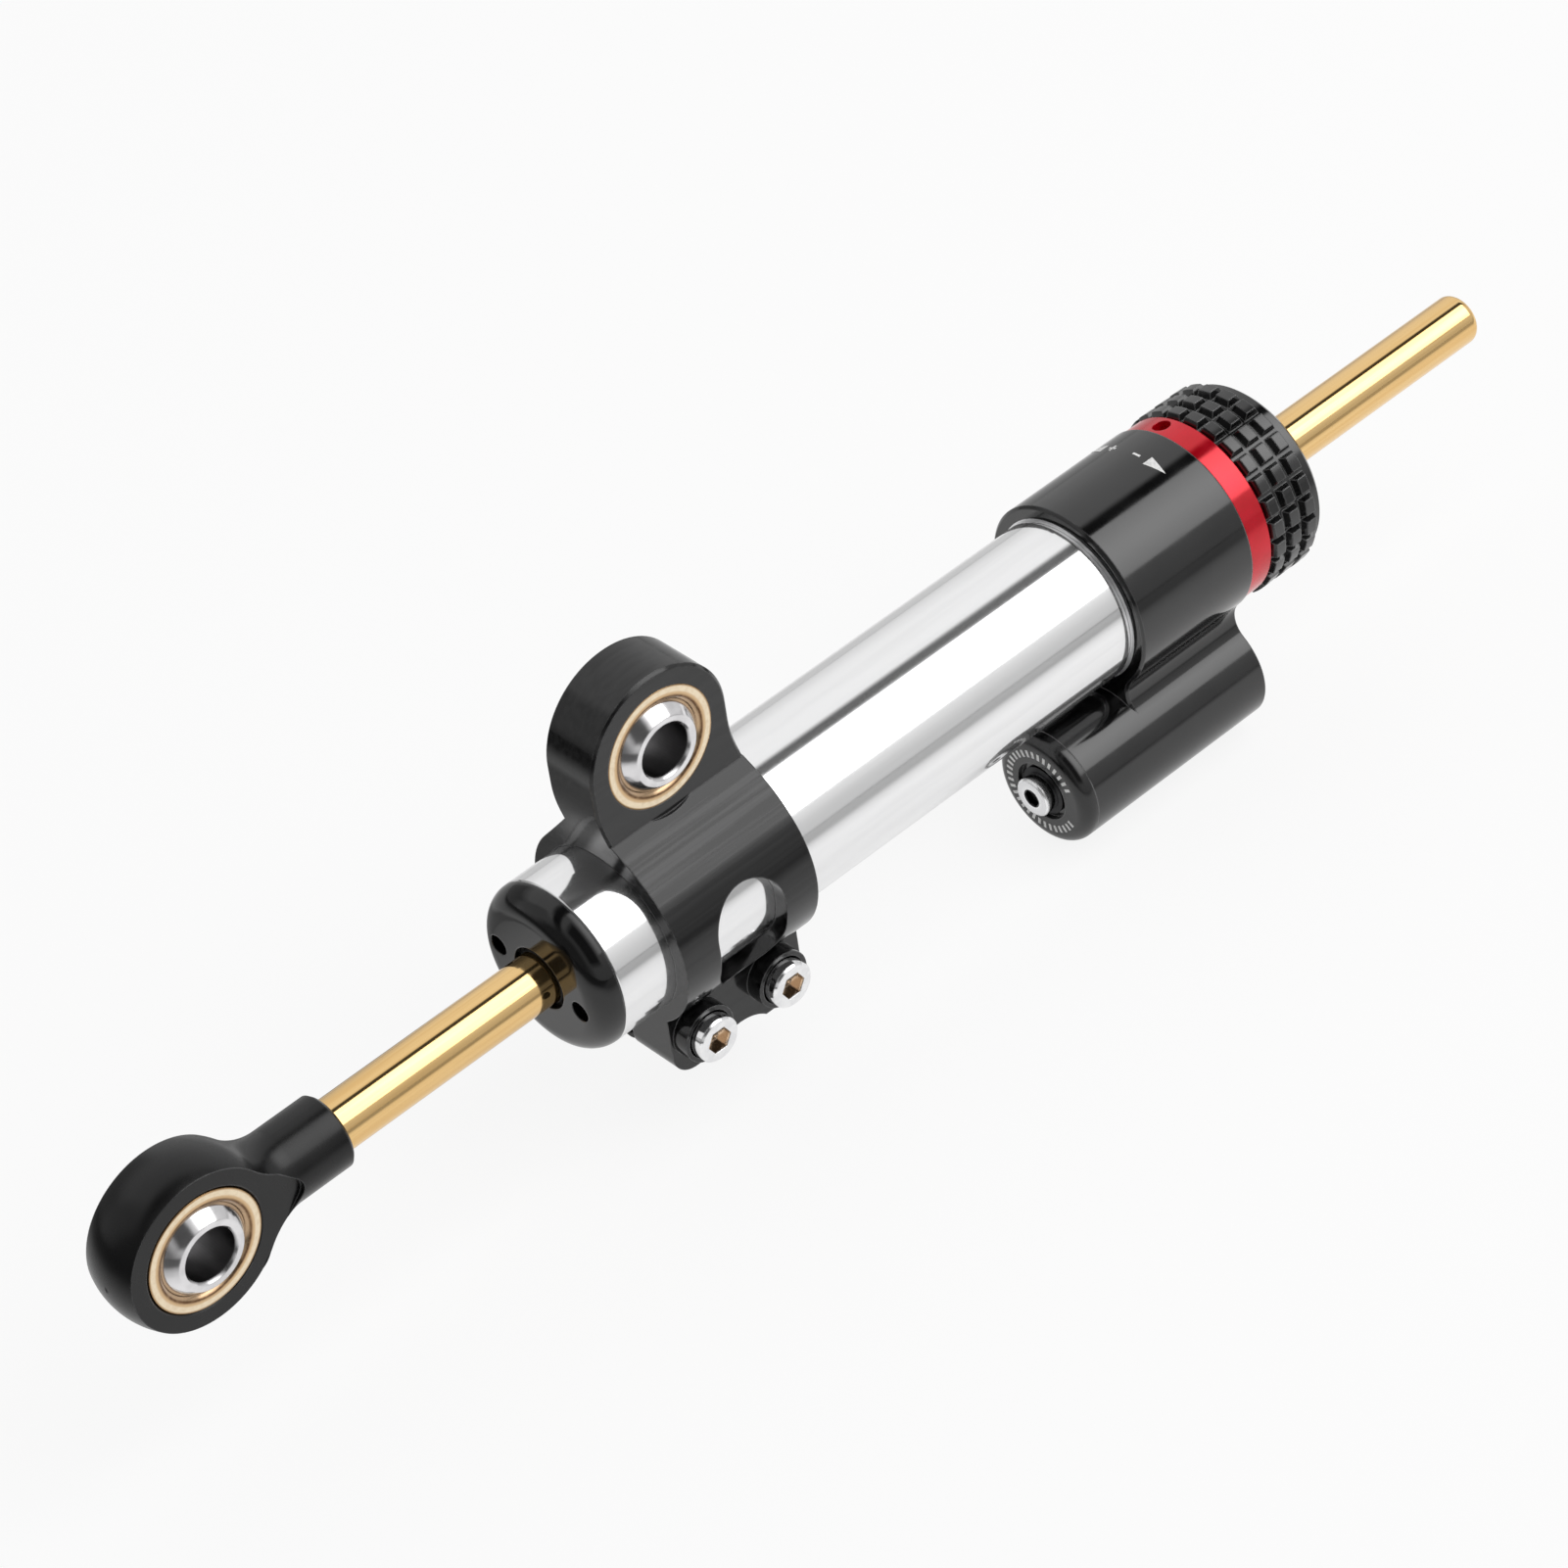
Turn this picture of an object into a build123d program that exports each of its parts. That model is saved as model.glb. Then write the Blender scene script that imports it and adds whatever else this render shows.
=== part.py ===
from build123d import *
import math
import os

os.makedirs("parts", exist_ok=True)

# Motorcycle steering damper with a through rod, a clamp that grips the cylinder, an adjuster
# knob and a piggyback oil reservoir. Sizes are in millimetres. The origin is the centre of the
# clamp's eye. X runs along the damper from the rod end to the rod's free tip, Y is the axis of
# both mounting bolts, and Z points up from the damper's axis to the clamp's eye.

# Places of the main pieces
eye_spacing = 84.8
eye_height = 28.3
clamp_set = 18.9
piston_set = 99.3

# Spherical bearings, the same in both eyes
eye_width = 9.4
race_radius = 9.15
race_mouth_radius = 7.45
race_mouth_depth = 0.57
ball_radius = 8.0
ball_width = 12.0
bolt_radius = 4.0
ball_chamfer = 0.4

# Rod and rod end
rod_radius = 4.0
rod_reach = 223.4
rod_round = 1.3
rod_socket_depth = 4.0
rod_thread_radius = 3.0
rod_thread_wall = 3.4
head_radius = 12.9
neck_radius = 5.6
neck_length = 24.7
neck_fillet = 8.0
neck_chamfer = 0.4
flat_reach = 16.0
flat_tip_radius = 2.2

# Piston
piston_length = 12.0
ring_groove_width = 3.2
ring_groove_depth = 1.25
piston_ring_thickness = 0.55
snap_ring_width = 0.8
snap_groove_depth = 0.45
snap_ring_height = 1.3
snap_ring_gap = 2.4

# Cylinder tube and inner sleeve
tube_radius = 12.9
tube_wall = 1.5
tube_length = 97.3
tube_chamfer = 0.35
tube_thread_step = 0.5
sleeve_wall = 0.9
bypass_gap = 1.0
bypass_port_radius = 1.0
bypass_port_count = 4
bypass_port_set = 3.5

# Front end cap
cap_round = 3.9
cap_spigot_length = 11.1
cap_nose_length = 1.5
cap_mouth_radius = 4.9
cap_mouth_depth = 1.2
pin_hole_radius = 1.6
pin_hole_depth = 2.6
pin_hole_inset = 4.8
pin_hole_turn = 9.4

# Rod guide and seals, the same at both ends
bush_length = 6.2
bush_share = 0.353
seal_width = 2.4
seal_share = 0.676
wiper_width = 2.6
wiper_share = 0.559
wiper_lip_length = 0.9
wiper_lip_radius = 4.6
guide_bore_radius = 4.35
guide_land = 1.1

# Square-cut sealing rings
o_ring_width = 1.8
o_ring_depth = 1.3

# Adjuster housing
housing_wall = 2.15
housing_length = 22.5
housing_gap = 0.5
housing_chamfer = 0.4
socket_depth = 7.3
partition_thickness = 6.0
sleeve_seat_depth = 1.2
valve_bore_share = 0.4706
valve_bore_length = 7.0
hub_share = 0.382
hub_reach = 14.2
transfer_hole_radius = 0.45
chamber_port_radius = 0.9
chamber_port_inset = 0.2
reservoir_port_radius = 1.2
reservoir_port_set = 4.5

# Adjuster: metering sleeve, index ring, knob and click detent
index_thread_share = 0.6
index_step = 0.3
index_width = 4.45
index_chamfer = 0.25
index_hole_radius = 1.4
index_hole_depth = 3.0
index_hole_turn = 14.5
knob_step = 0.15
knob_length = 11.2
knob_lip_chamfer = 0.6
knob_neck_share = 0.209
knob_neck_depth = 6.2
knob_web = 2.0
knob_recess_share = 0.418
knurl_depth = 1.1
knurl_row_set = 1.4
knurl_row_pitch = 3.25
knurl_row_width = 1.7
knurl_row_slope = 0.5
knurl_slot_floor = 0.5
knurl_slot_slope = 0.4
knurl_count = 26
knurl_turn = -1.9
knurl_rows = 3
metering_groove_depth = 1.2
metering_groove_rise = 0.45
metering_groove_width = 1.0
metering_groove_shift = 0.2
detent_inset = 1.0
detent_radius = 0.75
detent_hole_depth = 3.0
knob_ring_width = 0.8
knob_ring_groove = 0.5
knob_ring_height = 1.3
knob_ring_end_land = 0.6

# Piggyback reservoir
reservoir_sink = 0.45
reservoir_turn = 16.5
reservoir_radius = 9.1
reservoir_wall = 1.7
reservoir_end_wall = 3.5
reservoir_overhang = 12.3
web_fillet = 4.0
reservoir_cap_height = 2.5
reservoir_cap_round = 2.0
reservoir_spigot_length = 5.0
cap_recess_radius = 4.7
cap_recess_depth = 0.9
fill_screw_radius = 2.5
fill_screw_length = 5.2
fill_head_radius = 3.1
fill_head_height = 2.3
fill_seal_radius = 3.9
fill_seal_thickness = 0.6
fill_socket_radius = 1.45
fill_socket_depth = 1.3
fill_hole_radius = 1.4
floating_length = 8.0
floating_set = 12.0
floating_dish_radius = 4.6
floating_dish_depth = 3.0

# Clamp
clamp_eye_radius = 12.1
eye_bore_chamfer = 0.35
plate_edge_chamfer = 0.4
ring_wall = 2.35
ring_width = 24.3
ring_lead = 9.7
shoulder_rise = 2.45
flank_start = 3.0
flank_end = 17.5
spot_face_radius = 11.3
window_radius = 6.15
window_set = 2.65
window_top = 7.0
window_bottom = 10.7
split_width = 1.6
ear_reach = 9.0
ear_corner_radius = 3.9
ear_foot_rise = 6.8
ear_scallop_radius = 7.1
ear_scallop_depth = 1.9
screw_front_inset = 4.9
screw_rear_inset = 5.5
screw_rise = 3.7
boss_radius = 4.4
boss_height = 2.6

# Clamp screws, M4 socket cap
screw_radius = 2.0
screw_end_land = 1.2
screw_head_radius = 3.5
screw_head_height = 4.0
screw_head_chamfer = 0.3
screw_head_sink = 2.0
screw_hex_radius = 2.1
screw_hex_depth = 2.2

# Fits
running_clearance = 0.04
sliding_clearance = 0.02
fixed_clearance = 0.02
thread_clearance = 0.05
axial_clearance = 0.15
screw_hole_clearance = 0.2
overrun = 1.0

# Stations along the damper
tube_front = -clamp_set
tube_shoulder = tube_front + tube_length
cap_face = tube_front - cap_round
cap_shoulder = tube_front + cap_spigot_length
housing_front = tube_shoulder + housing_gap
socket_floor = housing_front + socket_depth
housing_rear = housing_front + housing_length
valve_front = socket_floor + partition_thickness
valve_rear = valve_front + valve_bore_length
index_rear = housing_rear + index_width
knob_front = index_rear + axial_clearance
knob_rear = knob_front + knob_length
hub_end = housing_rear + hub_reach
ring_front = -ring_lead
ring_rear = ring_front + ring_width
rod_eye = -eye_spacing
neck_end = rod_eye + neck_length
rod_tip = neck_end + rod_reach
piston_middle = neck_end + piston_set
reservoir_front = housing_front - reservoir_overhang
reservoir_floor = housing_rear - reservoir_end_wall

# Radii that follow from others
tube_bore = tube_radius - tube_wall
tube_thread_radius = tube_radius - tube_thread_step
sleeve_outer = tube_bore - bypass_gap
sleeve_bore = sleeve_outer - sleeve_wall
piston_radius = sleeve_bore - running_clearance
housing_radius = tube_radius + housing_wall
hub_radius = rod_radius + hub_share * (tube_radius - rod_radius)
hub_wall = hub_radius - rod_radius
barrel_wall = housing_radius - hub_radius
bush_radius = rod_radius + bush_share * hub_wall
seal_radius = rod_radius + seal_share * hub_wall
wiper_radius = rod_radius + wiper_share * hub_wall
valve_bore_radius = hub_radius + valve_bore_share * barrel_wall
index_thread_radius = hub_radius + index_thread_share * barrel_wall
index_radius = housing_radius - index_step
detent_circle = valve_bore_radius - detent_inset
knob_radius = housing_radius + knob_step
knob_floor_radius = knob_radius - knurl_depth
knob_neck_radius = hub_radius + knob_neck_share * barrel_wall
knob_recess_radius = hub_radius + knob_recess_share * barrel_wall
reservoir_bore = reservoir_radius - reservoir_wall
reservoir_offset = housing_radius + reservoir_radius - reservoir_sink
ring_radius = tube_radius + ring_wall
screw_drop = tube_radius + screw_rise

# Frames: the damper's axis and the reservoir's axis
damper_axis = Axis((0, 0, -eye_height), (1, 0, 0))
side_view = Plane(origin=(0, 0, -eye_height), x_dir=(1, 0, 0), z_dir=(0, -1, 0))
reservoir_y = -reservoir_offset * math.sin(math.radians(reservoir_turn))
reservoir_z = -reservoir_offset * math.cos(math.radians(reservoir_turn))
reservoir_axis = Axis((0, reservoir_y, reservoir_z - eye_height), (1, 0, 0))
reservoir_view = Plane(
    origin=(0, reservoir_y, reservoir_z - eye_height), x_dir=(1, 0, 0), z_dir=(0, -1, 0)
)


def cross_view(x, height=-eye_height):
    """Plane across the damper at x: Y to the right and Z up, facing the rod's tip."""
    return Plane(origin=(x, 0, height), x_dir=(0, 1, 0), z_dir=(1, 0, 0))


def band(x_start, x_end, r_inner, r_outer, mode=Mode.ADD):
    """Rectangle of a turned profile, from x_start to x_end and r_inner to r_outer."""
    with Locations((x_start, r_inner)):
        Rectangle(x_end - x_start, r_outer - r_inner, align=(Align.MIN, Align.MIN), mode=mode)


def outline(*points, mode=Mode.ADD):
    """Closed face of straight runs through the points, in the sketch at hand."""
    Polygon(*points, align=None, mode=mode)


def cut_band(x_start, x_end, r_inner, r_outer):
    """Rectangle taken away from a turned profile."""
    band(x_start, x_end, r_inner, r_outer, mode=Mode.SUBTRACT)


def touch_point(radius, corner, side):
    """Where the tangent from a corner touches a circle about the sketch's origin."""
    reach = math.hypot(*corner)
    turn = math.atan2(corner[1], corner[0]) + side * math.acos(radius / reach)
    return (radius * math.cos(turn), radius * math.sin(turn))


def finish(piece, name):
    """Labels a finished piece and writes its file."""
    piece.part.label = name
    export_step(piece.part, f"parts/{name}.step")


# Cylinder tube: threaded step at the rear that screws into the housing
with BuildPart() as cylinder_tube:
    with BuildSketch(side_view):
        band(tube_front, tube_shoulder, tube_bore, tube_radius)
        band(tube_shoulder, socket_floor, tube_bore, tube_thread_radius)
    revolve(axis=damper_axis)
    rims = cylinder_tube.edges().filter_by(GeomType.CIRCLE).group_by(SortBy.RADIUS)[-1]
    chamfer(rims, tube_chamfer)
finish(cylinder_tube, "cylinder_tube")

# Inner sleeve: the piston's bore, with bypass ports at its front end
with BuildPart() as inner_sleeve:
    with BuildSketch(side_view):
        band(cap_shoulder, socket_floor + sleeve_seat_depth, sleeve_bore, sleeve_outer)
    revolve(axis=damper_axis)
    port_x = cap_shoulder + cap_nose_length + bypass_port_set
    for port in range(bypass_port_count):
        port_turn = 2 * math.pi * port / bypass_port_count
        port_way = (0, math.sin(port_turn), math.cos(port_turn))
        with BuildSketch(Plane(origin=(port_x, 0, -eye_height), z_dir=port_way)):
            Circle(bypass_port_radius)
        extrude(amount=tube_radius, mode=Mode.SUBTRACT)
finish(inner_sleeve, "inner_sleeve")

# Front end cap: rounded black dome with two pin-spanner holes, seal grooves round the rod
wiper_front = cap_face + cap_mouth_depth
cap_seal_front = wiper_front + wiper_width + guide_land
cap_bush_front = cap_seal_front + seal_width + guide_land
cap_bush_radius = bush_radius + fixed_clearance
cap_ring_front = tube_front + (cap_spigot_length - o_ring_width) / 2
cap_ring_floor = tube_bore - o_ring_depth
with BuildPart() as front_end_cap:
    with BuildSketch(side_view):
        with BuildLine():
            Polyline(
                (tube_front, tube_radius), (tube_front, 0), (cap_face, 0),
                (cap_face, tube_radius - cap_round),
            )
            CenterArc((tube_front, tube_radius - cap_round), cap_round, 90, 90)
        make_face()
        band(tube_front, cap_shoulder, 0, tube_bore - fixed_clearance)
        band(cap_shoulder, cap_shoulder + cap_nose_length, 0, sleeve_bore - fixed_clearance)
        cut_band(cap_ring_front, cap_ring_front + o_ring_width, cap_ring_floor, tube_radius)
        cut_band(cap_face - overrun, cap_bush_front, 0, guide_bore_radius)
        cut_band(cap_face - overrun, wiper_front, 0, cap_mouth_radius)
        cut_band(wiper_front, wiper_front + wiper_width, 0, wiper_radius)
        cut_band(cap_seal_front, cap_seal_front + seal_width, 0, seal_radius)
        cut_band(cap_bush_front, cap_shoulder + cap_nose_length, 0, cap_bush_radius)
    revolve(axis=damper_axis)
    with BuildSketch(cross_view(cap_face)):
        with PolarLocations(tube_radius - pin_hole_inset, 2, start_angle=pin_hole_turn):
            Circle(pin_hole_radius)
    extrude(amount=pin_hole_depth, mode=Mode.SUBTRACT)
finish(front_end_cap, "front_end_cap")

with BuildPart() as front_cap_o_ring:
    with BuildSketch(side_view):
        band(
            cap_ring_front + fixed_clearance, cap_ring_front + o_ring_width - fixed_clearance,
            cap_ring_floor + fixed_clearance, tube_bore - fixed_clearance,
        )
    revolve(axis=damper_axis)
finish(front_cap_o_ring, "front_cap_o_ring")


def rod_bush(x_start):
    """Plain bush profile."""
    band(x_start, x_start + bush_length, rod_radius + running_clearance, bush_radius)


def rod_seal(x_start, facing):
    """Lip seal profile; the lip faces the oil, along facing."""
    lip_radius = rod_radius + running_clearance
    heel = x_start + (1 - facing) / 2 * seal_width
    outer = seal_radius - fixed_clearance
    outline(
        (heel, outer),
        (heel + facing * seal_width, outer),
        (heel + facing * seal_width, outer - seal_width / 3),
        (heel + facing * seal_width / 2, lip_radius + seal_width / 3),
        (heel + facing * seal_width, lip_radius),
        (heel, lip_radius),
    )


def rod_wiper(x_start, facing):
    """Wiper profile: a body in its groove and a thin lip that points outwards along facing."""
    lip_radius = rod_radius + running_clearance
    outer_face = x_start + (1 + facing) / 2 * wiper_width
    inner_face = outer_face - facing * wiper_width
    outline(
        (inner_face, lip_radius),
        (outer_face + facing * wiper_lip_length, lip_radius),
        (outer_face, wiper_lip_radius),
        (outer_face, wiper_radius - fixed_clearance),
        (inner_face, wiper_radius - fixed_clearance),
    )


with BuildPart() as front_rod_bush:
    with BuildSketch(side_view):
        rod_bush(cap_bush_front)
    revolve(axis=damper_axis)
finish(front_rod_bush, "front_rod_bush")

with BuildPart() as front_rod_seal:
    with BuildSketch(side_view):
        rod_seal(cap_seal_front, 1)
    revolve(axis=damper_axis)
finish(front_rod_seal, "front_rod_seal")

with BuildPart() as front_wiper:
    with BuildSketch(side_view):
        rod_wiper(wiper_front, -1)
    revolve(axis=damper_axis)
finish(front_wiper, "front_wiper")

# Adjuster housing: valve barrel, hub round the rod, web and piggyback reservoir in one block
housing_bush_front = socket_floor + sleeve_seat_depth / 2
housing_seal_front = housing_rear + guide_land
hub_wiper_front = hub_end - wiper_width
fillet_to_barrel = housing_radius + web_fillet
fillet_to_reservoir = reservoir_radius + web_fillet
fillet_along = (
    fillet_to_barrel**2 + reservoir_offset**2 - fillet_to_reservoir**2
) / (2 * reservoir_offset)
fillet_across = math.sqrt(fillet_to_barrel**2 - fillet_along**2)
snap_front = hub_end - knob_ring_end_land - knob_ring_width
hub_ring_front = valve_front + guide_land + axial_clearance
hub_ring_floor = hub_radius - o_ring_depth
with BuildPart() as adjuster_housing:
    with BuildSketch(cross_view(housing_front)):
        Circle(housing_radius)
        with Locations((reservoir_y, reservoir_z)):
            Circle(reservoir_radius)
        with Locations(Location((0, 0), -reservoir_turn)):
            Polygon(
                (0, 0), (fillet_across, -fillet_along), (0, -reservoir_offset),
                (-fillet_across, -fillet_along), align=None,
            )
            with Locations((fillet_across, -fillet_along), (-fillet_across, -fillet_along)):
                Circle(web_fillet, mode=Mode.SUBTRACT)
    extrude(amount=housing_length)
    front_rims = adjuster_housing.faces().sort_by(Axis.X)[0].edges()
    chamfer(front_rims, housing_chamfer)
    with BuildSketch(reservoir_view):
        band(reservoir_front, housing_rear, 0, reservoir_radius)
    revolve(axis=reservoir_axis)
    with BuildSketch(side_view):
        band(housing_front, hub_end, 0, hub_radius)
    revolve(axis=damper_axis)
    with BuildSketch(side_view):
        band(housing_front - overrun, socket_floor, 0, tube_thread_radius + thread_clearance)
        band(socket_floor, socket_floor + sleeve_seat_depth, 0, sleeve_outer + fixed_clearance)
        band(valve_front, valve_rear, hub_radius, valve_bore_radius)
        band(valve_rear, housing_rear + overrun, hub_radius, index_thread_radius)
        band(socket_floor, hub_end + overrun, 0, guide_bore_radius)
        band(socket_floor, housing_bush_front + bush_length, 0, bush_radius + fixed_clearance)
        band(housing_seal_front, housing_seal_front + seal_width, 0, seal_radius)
        band(hub_wiper_front, hub_end + overrun, 0, wiper_radius)
        band(snap_front, snap_front + knob_ring_width, hub_radius - knob_ring_groove, housing_radius)
        band(hub_ring_front, hub_ring_front + o_ring_width, hub_ring_floor, valve_bore_radius)
    revolve(axis=damper_axis, mode=Mode.SUBTRACT)
    with BuildSketch(reservoir_view):
        band(reservoir_front - overrun, reservoir_floor, 0, reservoir_bore)
    revolve(axis=reservoir_axis, mode=Mode.SUBTRACT)
    transfer_circle = (sleeve_outer + tube_bore) / 2
    with BuildSketch(cross_view(socket_floor)):
        with PolarLocations(transfer_circle, 4):
            Circle(transfer_hole_radius)
        with PolarLocations(sleeve_bore - chamber_port_radius - chamber_port_inset, 2):
            Circle(chamber_port_radius)
    extrude(amount=partition_thickness, mode=Mode.SUBTRACT)
    with BuildSketch(cross_view(valve_front)):
        with Locations((0, detent_circle)):
            Circle(detent_radius + fixed_clearance)
    extrude(amount=-detent_hole_depth, mode=Mode.SUBTRACT)
    port_origin = (valve_front + reservoir_port_set, 0, -eye_height)
    port_start = Plane(origin=port_origin, z_dir=(0, reservoir_y, reservoir_z))
    with BuildSketch(port_start.offset(hub_radius + running_clearance)):
        Circle(reservoir_port_radius)
    extrude(amount=reservoir_offset - hub_radius, mode=Mode.SUBTRACT)
finish(adjuster_housing, "adjuster_housing")

with BuildPart() as rear_rod_bush:
    with BuildSketch(side_view):
        rod_bush(housing_bush_front)
    revolve(axis=damper_axis)
finish(rear_rod_bush, "rear_rod_bush")

with BuildPart() as rear_rod_seal:
    with BuildSketch(side_view):
        rod_seal(housing_seal_front, -1)
    revolve(axis=damper_axis)
finish(rear_rod_seal, "rear_rod_seal")

with BuildPart() as rear_wiper:
    with BuildSketch(side_view):
        rod_wiper(hub_wiper_front, 1)
    revolve(axis=damper_axis)
finish(rear_wiper, "rear_wiper")

# Index ring: red, screwed into the housing behind the metering sleeve, with two pin holes
index_ring_front = housing_rear - o_ring_width / 2
index_ring_floor = knob_neck_radius + o_ring_depth
with BuildPart() as index_ring:
    with BuildSketch(side_view):
        band(housing_rear, index_rear, knob_neck_radius + running_clearance, index_radius)
        band(
            valve_rear, housing_rear,
            knob_neck_radius + running_clearance, index_thread_radius - thread_clearance,
        )
        cut_band(index_ring_front, index_ring_front + o_ring_width, 0, index_ring_floor)
    revolve(axis=damper_axis)
    chamfer(
        index_ring.edges().filter_by(GeomType.CIRCLE).group_by(SortBy.RADIUS)[-1], index_chamfer
    )
    index_hole_x = housing_rear + index_width / 2
    for side in (1, -1):
        hole_turn = math.radians(index_hole_turn)
        hole_way = (0, side * math.sin(hole_turn), side * math.cos(hole_turn))
        hole_plane = Plane(origin=(index_hole_x, 0, -eye_height), z_dir=hole_way)
        with BuildSketch(hole_plane.offset(index_radius - index_hole_depth)):
            Circle(index_hole_radius)
        extrude(amount=index_hole_depth + overrun, mode=Mode.SUBTRACT)
finish(index_ring, "index_ring")

with BuildPart() as adjuster_o_rings:
    with BuildSketch(side_view):
        band(
            index_ring_front + fixed_clearance,
            index_ring_front + o_ring_width - fixed_clearance,
            knob_neck_radius + sliding_clearance, index_ring_floor - fixed_clearance,
        )
        band(
            hub_ring_front + fixed_clearance, hub_ring_front + o_ring_width - fixed_clearance,
            hub_ring_floor + fixed_clearance, hub_radius + sliding_clearance,
        )
    revolve(axis=damper_axis)
finish(adjuster_o_rings, "adjuster_o_rings")

# Metering sleeve: turns on the hub, with an eccentric groove and a detent track in its face
meter_front = valve_front + axial_clearance
meter_rear = valve_rear - axial_clearance
neck_rear = knob_front + knob_neck_depth
ball_x = valve_front - axial_clearance
track_depth = math.sqrt(2) * (detent_radius + running_clearance)
groove_inner = hub_radius + metering_groove_rise
with BuildPart() as metering_sleeve:
    with BuildSketch(side_view):
        meter_bore = hub_radius + running_clearance
        band(meter_front, meter_rear, meter_bore, valve_bore_radius - running_clearance)
        band(meter_rear, neck_rear, meter_bore, knob_neck_radius)
        outline(
            (ball_x, detent_circle - track_depth), (ball_x + track_depth, detent_circle),
            (ball_x, detent_circle + track_depth), mode=Mode.SUBTRACT,
        )
    revolve(axis=damper_axis)
    with BuildSketch(cross_view(meter_front)):
        with Locations((metering_groove_shift, 0)):
            Circle(groove_inner + metering_groove_width)
            Circle(groove_inner, mode=Mode.SUBTRACT)
    extrude(amount=metering_groove_depth, mode=Mode.SUBTRACT)
finish(metering_sleeve, "metering_sleeve")

# Adjuster knob: three rows of tapered blocks round a cup that is screwed on the sleeve's neck
knurl_end = knob_front + knurl_row_set + (knurl_rows - 1 / 2) * knurl_row_pitch
block_half = knurl_row_width / 2
slot_top = knurl_slot_floor / 2 + 2 * knurl_slot_slope
with BuildPart() as adjuster_knob:
    with BuildSketch(side_view):
        band(knob_front, knob_rear, 0, knob_floor_radius)
        for row in range(knurl_rows):
            row_x = knob_front + knurl_row_set + row * knurl_row_pitch
            foot_half = block_half + knurl_row_slope
            outline(
                (row_x - foot_half, knob_floor_radius), (row_x - block_half, knob_radius),
                (row_x + block_half, knob_radius), (row_x + foot_half, knob_floor_radius),
            )
        cut_band(knob_front, neck_rear, 0, knob_neck_radius + fixed_clearance)
        cut_band(neck_rear, neck_rear + knob_web, 0, hub_radius + running_clearance)
        cut_band(neck_rear + knob_web, knob_rear, 0, knob_recess_radius)
    revolve(axis=damper_axis)
    lip_edges = adjuster_knob.faces().sort_by(Axis.X)[-1].edges()
    chamfer(lip_edges.sort_by(SortBy.RADIUS)[-1], knob_lip_chamfer)
    with BuildSketch(cross_view(knob_front)):
        with PolarLocations(knob_floor_radius, knurl_count, start_angle=knurl_turn):
            outline(
                (0, -knurl_slot_floor / 2), (2 * knurl_depth, -slot_top),
                (2 * knurl_depth, slot_top), (0, knurl_slot_floor / 2),
            )
    extrude(amount=knurl_end - knob_front, mode=Mode.SUBTRACT)
finish(adjuster_knob, "adjuster_knob")


def open_ring(x_start, width, r_inner, height, gap):
    """Snap ring across the damper with an open gap at its top."""
    with BuildSketch(cross_view(x_start)) as profile:
        Circle(r_inner + height)
        Circle(r_inner, mode=Mode.SUBTRACT)
        with Locations((0, r_inner + height / 2)):
            Rectangle(gap, 2 * height, mode=Mode.SUBTRACT)
    extrude(profile.sketch, amount=width)


with BuildPart() as knob_snap_ring:
    open_ring(
        snap_front + fixed_clearance, knob_ring_width - 2 * fixed_clearance,
        hub_radius - knob_ring_groove, knob_ring_height, snap_ring_gap,
    )
finish(knob_snap_ring, "knob_snap_ring")

# Click detent: a ball and its spring in a blind hole of the partition
detent_height = detent_circle - eye_height
with BuildPart() as detent_ball:
    with Locations((ball_x, 0, detent_height)):
        Sphere(detent_radius)
finish(detent_ball, "detent_ball")

with BuildPart() as detent_spring:
    with BuildSketch(cross_view(valve_front - detent_hole_depth)):
        with Locations((0, detent_circle)):
            Circle(detent_radius)
            Circle(detent_radius / 2, mode=Mode.SUBTRACT)
    extrude(amount=detent_hole_depth - axial_clearance - detent_radius)
finish(detent_spring, "detent_spring")

# Piston with its slide ring and energiser ring, held on the rod by two snap rings
piston_front = piston_middle - piston_length / 2
piston_rear = piston_middle + piston_length / 2
groove_front = piston_middle - ring_groove_width / 2
groove_floor = piston_radius - ring_groove_depth
slide_ring_inner = sleeve_bore - sliding_clearance - piston_ring_thickness
with BuildPart() as piston:
    with BuildSketch(side_view):
        band(piston_front, piston_rear, rod_radius + running_clearance, piston_radius)
        cut_band(groove_front, groove_front + ring_groove_width, groove_floor, tube_radius)
    revolve(axis=damper_axis)
    ends = piston.faces().filter_by(Axis.X)
    rims = [ends.sort_by(Axis.X)[end].edges().sort_by(SortBy.RADIUS)[-1] for end in (0, -1)]
    chamfer(rims, snap_ring_width / 2)
finish(piston, "piston")

with BuildPart() as piston_ring:
    with BuildSketch(side_view):
        band(
            groove_front + fixed_clearance, groove_front + ring_groove_width - fixed_clearance,
            slide_ring_inner, sleeve_bore - sliding_clearance,
        )
    revolve(axis=damper_axis)
finish(piston_ring, "piston_ring")

with BuildPart() as piston_o_ring:
    with BuildSketch(side_view):
        band(
            groove_front + fixed_clearance, groove_front + ring_groove_width - fixed_clearance,
            groove_floor + fixed_clearance, slide_ring_inner - fixed_clearance,
        )
    revolve(axis=damper_axis)
finish(piston_o_ring, "piston_o_ring")

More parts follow.
